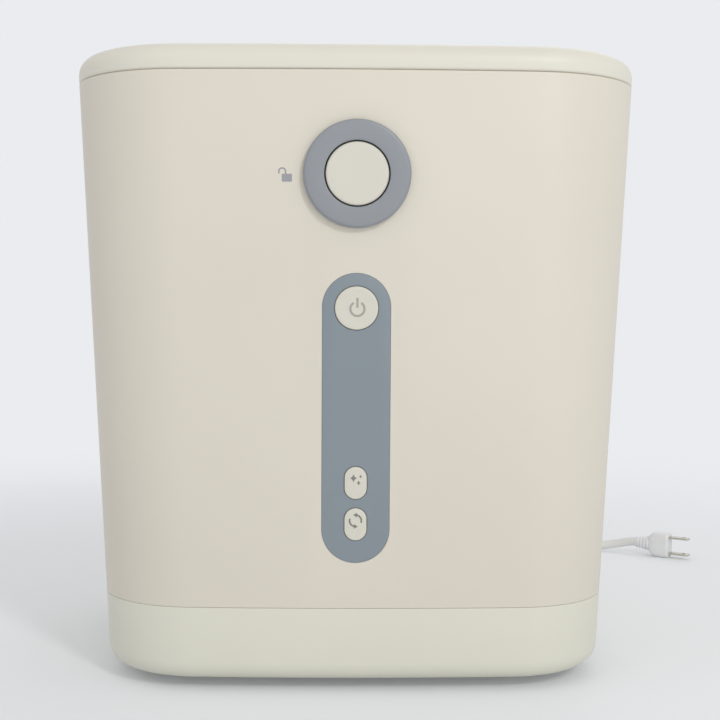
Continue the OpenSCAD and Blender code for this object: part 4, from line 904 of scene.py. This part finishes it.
# Filter cassette --------------------------
# A cream ABS box that slides into the back of the casing. Its face follows the wall and has
# nine slanting louvres over a finger recess. A pad of carbon granules fills it from behind.

cassette_w, cassette_h, cassette_deep = bay_w - 1.5, bay_h - 1.5, 22.9
cassette_t, face_t = 2, 2.5
cassette_box = softened(block((cassette_w, cassette_h, cassette_deep),
    (-cassette_w/2, -cassette_h/2, -cassette_deep)), 0.8, 3,
    where=lambda e: max(v.co.z for v in e.verts) > -1)
cassette_cuts = [block((cassette_w - 2*cassette_t, cassette_h - 2*cassette_t, cassette_deep),
    (cassette_t - cassette_w/2, cassette_t - cassette_h/2, -cassette_deep - face_t)),
    slot_shape(13, 36, -3, 1.6, at(0, 10 - cassette_h/2) @ spun(90) @ spun(180, "X"),
    soften=1.3)]
for i in range(-4, 5):
    louvre = prism([(-1.5, 3), (-3.6, -3.5), (-0.6, -3.5), (1.5, 3)], -43.4, 43.4)
    softened(louvre, 1.3, 4, 50, lambda e: span(e, "y") > 1)
    cassette_cuts.append(placed(louvre, at(0, 8 + 6.5*i) @ side_on))
blank = bored(as_piece("blank", cassette_box, cream_casing), cassette_cuts)
cassette = bmesh.new()
cassette.from_mesh(blank.data)
bpy.data.objects.remove(blank)
bmesh.ops.scale(cassette, vec=(1/mm, 1/mm, 1/mm), verts=cassette.verts)
for i in range(-8, 9):
    bmesh.ops.bisect_plane(cassette, plane_co=(7*i, 0, 0), plane_no=(1, 0, 0),
        geom=cassette.verts[:] + cassette.edges[:] + cassette.faces[:])
for vert in cassette.verts:
    vert.co.z -= wall_drop(vert.co.x)*held(1 + vert.co.z/face_t)
fitted("filter_cassette", placed(cassette, rear_frame(bay_z)), cream_casing, "cream_casing",
    "filter_frame", body="filter")

# Packed grains: each one domed and a shade of its own, as granules or sintered powder are
grain_skin, way, crowd = new_skin("grain_skin", cells=520)
granules = cells(way, crowd)
granule_shade = add(grain_skin, "SeparateColor", ("Color", granules["Color"]))
put_out(grain_skin, spread(granules["Distance"], 0, 0.75, 1, 0), granule_shade.outputs[0],
    spread(granules["Distance"], 0.5, 0.7))
dress(finished("carbon_granules", grain_skin, (24, 24, 26), (58, 58, 61), (0.95, 0.6),
    bump=0.8, depth=0.6), "carbon_block")


# Air path ---------------------------------
# A duct takes moist air from the window in the well to a small fan, which blows it through
# the filter bay. All are glass-filled polypropylene, with a steel can round the fan's motor.

dress(moulded("filled_pp", (208, 209, 210), (196, 198, 200), (0.42, 0.6), grain=700,
    patches=25, depth=0.05), "air_duct", "fan_housing", "filter_bay")
dress(moulded("fan_nylon", (232, 231, 226), (224, 223, 217), (0.34, 0.5)), "fan_impeller")
plated_can = metal("plated_can", mould_skin, (172, 174, 178), (158, 161, 166), (0.24, 0.4),
    grain=500, patches=40, depth=0.02)
dress(plated_can, "fan_motor", "motor")


# Top deck ---------------------------------
# A dark ABS plate that closes the casing round the well's mouth. It has a slot for the lid's
# catch and a hole for the lid switch, and four screws hold it to the casing's posts.

dress(moulded("deck_abs", (60, 62, 66), (65, 67, 71), (0.46, 0.62), grain=1100, depth=0.05),
    "top_deck")


# Well and heat ----------------------------
# A deep-drawn aluminium well, wrapped in mineral felt. Under its floor a tubular heater is
# brazed to a steel ring, discoloured by the heat, beside a snap-disc thermal cut-out.

dress(metal("well_aluminium", lathe_skin, (206, 207, 209), (190, 192, 195), (0.22, 0.42),
    rings=700, depth=0.02), "well")
dress(moulded("mineral_felt", (206, 202, 192), (184, 180, 170), (0.92, 1), grain=420,
    patches=45, bump=0.8, depth=0.7), "insulation_sleeve")
dress(metal("heater_oxide", mould_skin, (158, 148, 134), (104, 98, 96), (0.36, 0.58),
    grain=900, patches=38, depth=0.04), "heating_ring")
dress(metal("cutout_can", mould_skin, (188, 189, 191), (176, 177, 180), (0.28, 0.4),
    patches=80, depth=0.02), "thermal_cutout")


# Bucket -----------------------------------
# A lift-out bucket of drawn aluminium with a dark, light-flecked non-stick coat. A steel bail
# with a silicone grip swings between two riveted lugs, and a bronze bush lines its hub.

dress(finished("flecked_coat", mould_skin, (66, 68, 72), (158, 160, 163), (0.3, 0.46),
    mask="Speck", grain=1700, depth=0.04), "bucket")
dress(metal("bright_steel", mould_skin, (200, 201, 204), (188, 190, 193), (0.16, 0.3),
    grain=2600, patches=60, depth=0.008), "bail", "bail_lugs", "gearbox_standoffs")
dress(moulded("grip_silicone", (36, 36, 38), (45, 45, 47), (0.56, 0.74), grain=1900,
    depth=0.05), "bail_grip", "shaft_seal")
dress(metal("sintered_bronze", grain_skin, (166, 126, 78), (140, 104, 62), (0.34, 0.52),
    cells=3200, depth=0.02), "bucket_bush", "drive_bushes", "motor_pinion")


# Blades -----------------------------------
# A rotor of cast aluminium: a hub that caps the bucket's hub, two low sickle arms with
# upright paddles and two high ones. They sweep past three fixed toothed blades of steel.

rotor_low, rotor_top, arm_t, low_reach, high_reach = 123, 158.5, 5, 80, 64


def sickle(reach, bulge, z):
    """A sickle-shaped arm from the hub out to a reach, with its edges cast round."""
    half, middle = reach/2 - 8, reach/2 + 8
    points = []
    for rise, shift, turn in ((bulge, 5, 1), (bulge*0.35, -3, -1)):
        r = (half*half + rise*rise)/(2*rise)
        sweep = degrees(asin(half/r))*turn
        points += bend(middle, rise - r + shift, r, 90 + sweep, 90 - sweep, 24)
    arm = softened(prism(points, z, z + arm_t), 2.6, 4, 50,
        lambda e: span(e, "z") > 1 and e.verts[0].co.x > reach - 1)
    return softened(arm, 0.9, 3, 50, lambda e: span(e, "z") < 0.1)


def paddle(x, y, turn, height):
    """An upright paddle on a low arm, 13 mm long."""
    return placed(softened(block((13, 4, height), (0, 0, 0)), 1.1, 3),
        at(x, y, rotor_low) @ spun(turn))


rotor = [turned([(0, 149), (5, 149), (5, 140), (20, 140), (20, 123)]
    + bend(24.7, 123.8, 0.8, -90, 8, 4) + [(23.5, 134.5)] + bend(15, 142.5, 8, 0, 58, 8)
    + [(19, 151.5)] + bend(16.6, 156.1, 2.4, 0, 90, 6) + [(9, 158.5)]
    + bend(9, 157.7, 0.8, 90, 180, 3) + [(7.8, 156.9), (0, 156.7)])]
for turn in (0, 180):
    rotor += [placed(arm, spun(turn)) for arm in (sickle(low_reach, 14, rotor_low),
        paddle(59, 4.5, -18, 17), paddle(36, 7, 8, 12))]
    rotor.append(placed(sickle(high_reach, 10, rotor_top - arm_t), spun(turn + 90)))
cast_aluminium = metal("cast_aluminium", mould_skin, (166, 168, 171), (148, 150, 154),
    (0.34, 0.5), grain=800, patches=45, depth=0.07)
fitted("rotor_casting", gathered(rotor), cast_aluminium, "cast_blades", "blade_rotor",
    body="rotor")
comb = [(83.1, -11.4), (64.5, -5), (58.5, -1), (58.5, 3), (63.5, 2.5), (66.5, 6), (71.5, 5.5),
    (74.5, 9), (79.5, 8.5), (83.2, 10.4), (83.9, 0)]
combs = [placed(softened(prism(comb, 146.5, 150.5), 0.45, 2, 50,
    lambda e: span(e, "z") < 0.1), spun(turn)) for turn in (20, 140, 260)]
ground_steel = metal("ground_steel", drawn_skin, (188, 190, 193), (174, 176, 180),
    (0.2, 0.36), lines=1300, depth=0.012)
fitted("fixed_combs", gathered(combs), ground_steel, "steel", "fixed_blades", body="bucket")
dress(ground_steel, "rotor_shaft", "drive_shaft", "output_gear")


# Gearbox ----------------------------------
# A die-cast box under the well, closed by a cast cover, with three stages of gears: two of
# acetal and a last one of steel, driven by the bronze pinion of the motor.

dress(metal("die_cast", mould_skin, (160, 162, 166), (146, 148, 153), (0.42, 0.6),
    grain=650, patches=30, depth=0.1), "gearbox_housing", "gearbox_cover")
white_acetal = moulded("white_acetal", (236, 234, 225), (228, 226, 216), (0.26, 0.38),
    depth=0.015)
dress(white_acetal, "idler_gear_1", "idler_gear_2", "latch_lever")


# Lid switch -------------------------------
# A microswitch in a black nylon case, held under the deck. When the lid is shut, a pip on the
# liner stands in the deck's hole, over the switch's plunger.

moulded_black = moulded("moulded_black", (38, 39, 42), (45, 46, 49), (0.34, 0.5), depth=0.04)
dress(moulded_black, "lid_switch")


# Mains board ------------------------------
# A glass-epoxy board under green solder resist, on four pillars of the base pan. It carries a
# wound transformer, a relay, three sleeved capacitors and a finned heat sink.

solder_resist = moulded("solder_resist", (34, 98, 62), (27, 82, 52), (0.22, 0.4), grain=600,
    patches=160)
board_x, board_y, board_z, board_h = 24, -72, 17, 1.6
mains_board = softened(block((86, 66, board_h), (board_x, board_y, board_z)), 1.5, 3,
    where=lambda e: span(e, "z") > 1)
fitted("mains_board", mains_board, solder_resist, "board_green", "main_board",
    cuts=[upright(1.2, x, y, board_z - 1, board_z + 3, 24) for x, y in pillar_spots])


def on_board(x, y, w, d, h, low=0.0, ease=0.5):
    """A part w by d by h, standing low above the board at (x, y) from its corner."""
    return softened(block((w, d, h), (board_x + x, board_y + y, board_z + board_h + low)),
        ease, 2)


board_blocks = gathered([on_board(12, 12, 5, 22, 20), on_board(33, 12, 5, 22, 20),
    on_board(17.1, 17, 15.8, 12, 3.4), on_board(17.1, 17, 15.8, 12, 3.4, low=16.6),
    on_board(64, 32, 14, 28, 15), on_board(18, 38.2, 10, 3.6, 15, low=2, ease=0.4),
    on_board(64, 8, 8, 10, 2.4, ease=0.3), on_board(64, 20, 8, 10, 2.4, ease=0.3)])
fitted("board_blocks", board_blocks, moulded_black, "dark_plastic", "main_board")
winding_tape = moulded("winding_tape", (214, 172, 62), (202, 158, 52), (0.3, 0.42), grain=900)
fitted("transformer_winding", on_board(17.2, 13.5, 15.6, 19, 12.6, low=3.7, ease=2.2),
    winding_tape, "light_plastic", "main_board")
can_sleeve = moulded("can_sleeve", (40, 50, 84), (34, 43, 74), (0.28, 0.4), depth=0.02)
sleeves, can_tops = [], []
for i in range(3):
    height, spot = 24 - 3*i, at(board_x + 50, board_y + 12 + 17*i, board_z + board_h)
    sleeves.append(turned([(0, 0.2), (5.9, 0.2)] + bend(5.7, 1, 0.8, -75, 0, 4)
        + [(6.5, 2.6), (6.1, 3.2), (6.5, 3.8)] + bend(5.7, height - 0.8, 0.8, 0, 90, 4)
        + [(5, height), (4.8, height - 0.3), (0, height - 0.3)], spot, 40))
    can_tops.append(turned([(0, height - 0.28), (4.75, height - 0.28), (4.75, height - 0.1),
        (0, height - 0.1)], spot, 40))
fitted("capacitor_sleeves", gathered(sleeves), can_sleeve, "dark_plastic", "main_board")
fitted("capacitor_tops", gathered(can_tops), plated_can, "plated_steel", "main_board")
drawn_fins = metal("drawn_fins", drawn_skin, (190, 192, 195), (178, 180, 184), (0.32, 0.46),
    lines=900, depth=0.02)
fins = [(12, 42), (34, 42), (34, 46), (32.6, 46), (32.6, 43.4)]
for fin_x in (28.6, 24.6, 20.6, 16.6):
    fins += [(fin_x + 1.4, 43.4), (fin_x + 1.4, 46), (fin_x, 46), (fin_x, 43.4)]
fins += [(14.8, 43.4), (14.8, 46), (12, 46)]
fitted("heat_sink_fins", prism(fins, 0, 24, at(board_x, board_y, board_z + board_h)),
    drawn_fins, "well_aluminium", "main_board")


# Button board -----------------------------
# A second green board, behind the control strip, with a tactile switch under each button and
# a connector and a small processor on its back.

button_board = softened(block((36, 142.3, 1.6), (-18, -71.15, -15.6)), 2, 3,
    where=lambda e: span(e, "z") > 1)
fitted("button_board", placed(button_board, on_strip), solder_resist, "board_green",
    "control_board")
bodies = [placed(softened(block((6, 6, 3.5), (-3, -3, -14)), 0.3, 2), up_strip(z))
    for z in (power_z, clean_z, speed_z)]
bodies += [placed(softened(block((14, 14, 2), (-7, 13, -17.6)), 0.3, 2), on_strip),
    placed(softened(block((8, 22, 6), (-4, -21, -21.6)), 0.5, 2), on_strip)]
plungers = [turned([(0, -10.45), (1.7, -10.45), (1.7, -10.3), (1.5, -10.1), (0, -10.1)],
    up_strip(z), 32) for z in (power_z, clean_z, speed_z)]
fitted("switch_plungers", gathered(plungers), white_acetal, "light_plastic", "control_board")
fitted("switch_bodies", gathered(bodies), moulded_black, "dark_plastic", "control_board")


# Screws -----------------------------------
# Eight zinc-plated pan-head screws with cross recesses: four from below hold the base pan,
# and four on top hold the deck.

zinc_plate = metal("zinc_plate", mould_skin, (196, 198, 202), (184, 188, 196), (0.2, 0.36),
    patches=120, depth=0.01)
deck_top, thread_r, thread_core, thread_pitch = 312.05, 1.5, 1.15, 1.15
cross = [Matrix.Rotation(turn*pi/2, 2) @ Vector(p) for turn in range(4)
    for p in ((2.2, -0.5), (2.2, 0.5), (0.5, 0.5))]


def screw(head_r, head_h, sleeve_r, sleeve_l, thread_l, matrix):
    """A pan-head screw along Z, whose head stands on z = 0, and its cross recess."""
    profile = [(0, head_h), (head_r*0.55, head_h - 0.06)]
    profile += bend(head_r - 0.9, head_h - 1.05, 0.9, 78, 0, 5) + [(head_r, 0)]
    profile += [(sleeve_r, 0), (sleeve_r, -sleeve_l)] if sleeve_l else []
    for i in range(round(thread_l/thread_pitch)):
        crest = -sleeve_l - thread_pitch*(i + 0.5)
        profile += [(thread_core, crest + 0.4), (thread_r, crest), (thread_core, crest - 0.4)]
    profile.append((0, -sleeve_l - thread_l))
    return turned(profile, matrix, 32), prism(cross, head_h - 1.2, head_h + 1, matrix)


screws = [screw(3.8, 3, 1.9, 41.4, 14, at(x, y, 11) @ spun(180, "X")) for x, y in case_spots]
screws += [screw(3.6, 1.8, 0, 0, 20.5, at(x, y, deck_top)) for x, y in deck_spots]
shanks, crosses = zip(*screws)
fitted("case_screws_set", gathered(shanks), zinc_plate, "plated_steel", "case_screws",
    cuts=[gathered(crosses)])


# Floor and light --------------------------
# A pale matt floor that keeps the machine's shadow and, farther off, melts into the same pale
# background. A key lamp high at the front right gives small soft shadows. A broad lamp under
# it and two weaker ones fill them, in an even surround.

floor_disc = bmesh.new()
bmesh.ops.create_circle(floor_disc, cap_ends=True, segments=96, radius=6000)
floor_paint = moulded("floor_paint", (241, 243, 246), (239, 241, 245), (0.85, 0.95),
    grain=300, depth=0.01, patches=1.5)
as_piece("studio_floor", floor_disc, floor_paint)
surround = bpy.data.worlds.new("surround")
scene.world = surround
surround.use_nodes = True
backdrop, light_strength = tint(234, 236, 239), 0.72


def seen(tree):
    """1 for rays from the camera or off a shiny surface, 0 for the light itself."""
    ray = add(tree, "LightPath").outputs
    return add(tree, "Math", (0, ray["Is Camera Ray"]), (1, ray["Is Glossy Ray"]),
        operation="MAXIMUM").outputs["Value"]


floor_tree = floor_paint.node_tree
melt = spread(far_off(floor_tree.nodes["Texture Coordinate"].outputs["Object"]), 0.3, 1.1,
    0.15, 1, interpolation_type="SMOOTHSTEP")
share = add(floor_tree, "Math", (0, seen(floor_tree)), (1, melt), operation="MULTIPLY")
far_floor = add(floor_tree, "Emission", ("Color", backdrop), ("Strength", 1))
floor_mix = add(floor_tree, "MixShader", (0, share.outputs["Value"]),
    (1, floor_tree.nodes["Principled BSDF"].outputs["BSDF"]),
    (2, far_floor.outputs["Emission"]))
join(floor_tree.nodes["Material Output"], ("Surface", floor_mix.outputs["Shader"]))

sky_tree = surround.node_tree
lit_by = join(sky_tree.nodes["Background"], ("Color", tint(244, 243, 242)),
    ("Strength", light_strength))
shown = add(sky_tree, "Background", ("Color", backdrop), ("Strength", 1))
sky_mix = add(sky_tree, "MixShader", (0, seen(sky_tree)), (1, lit_by.outputs["Background"]),
    (2, shown.outputs["Background"]))
join(sky_tree.nodes["World Output"], ("Surface", sky_mix.outputs["Shader"]))

for lamp_name, spot, size, watts, warmth in (
        ("lamp_key", (1.2, -2.3, 1.7), 0.45, 20, (0.99, 1, 0.98)),
        ("lamp_right", (0.6, -1.6, 0.2), 1.6, 5, (0.99, 1, 0.98)),
        ("lamp_left", (-1.2, -1.1, 1.2), 1.2, 1.2, (1, 1, 1)),
        ("lamp_back", (0.4, 1.4, 1.5), 1.4, 4, (1, 1, 1))):
    lamp = bpy.data.lights.new(lamp_name, "AREA")
    lamp.shape, lamp.size, lamp.energy, lamp.color = "DISK", size, watts, warmth
    holder = put(lamp_name, lamp)
    holder.location = spot
    aim = Vector((0, 0, 0.16)) - Vector(spot)
    holder.rotation_euler = aim.to_track_quat("-Z", "Y").to_euler()

scene.view_settings.view_transform = "Standard"
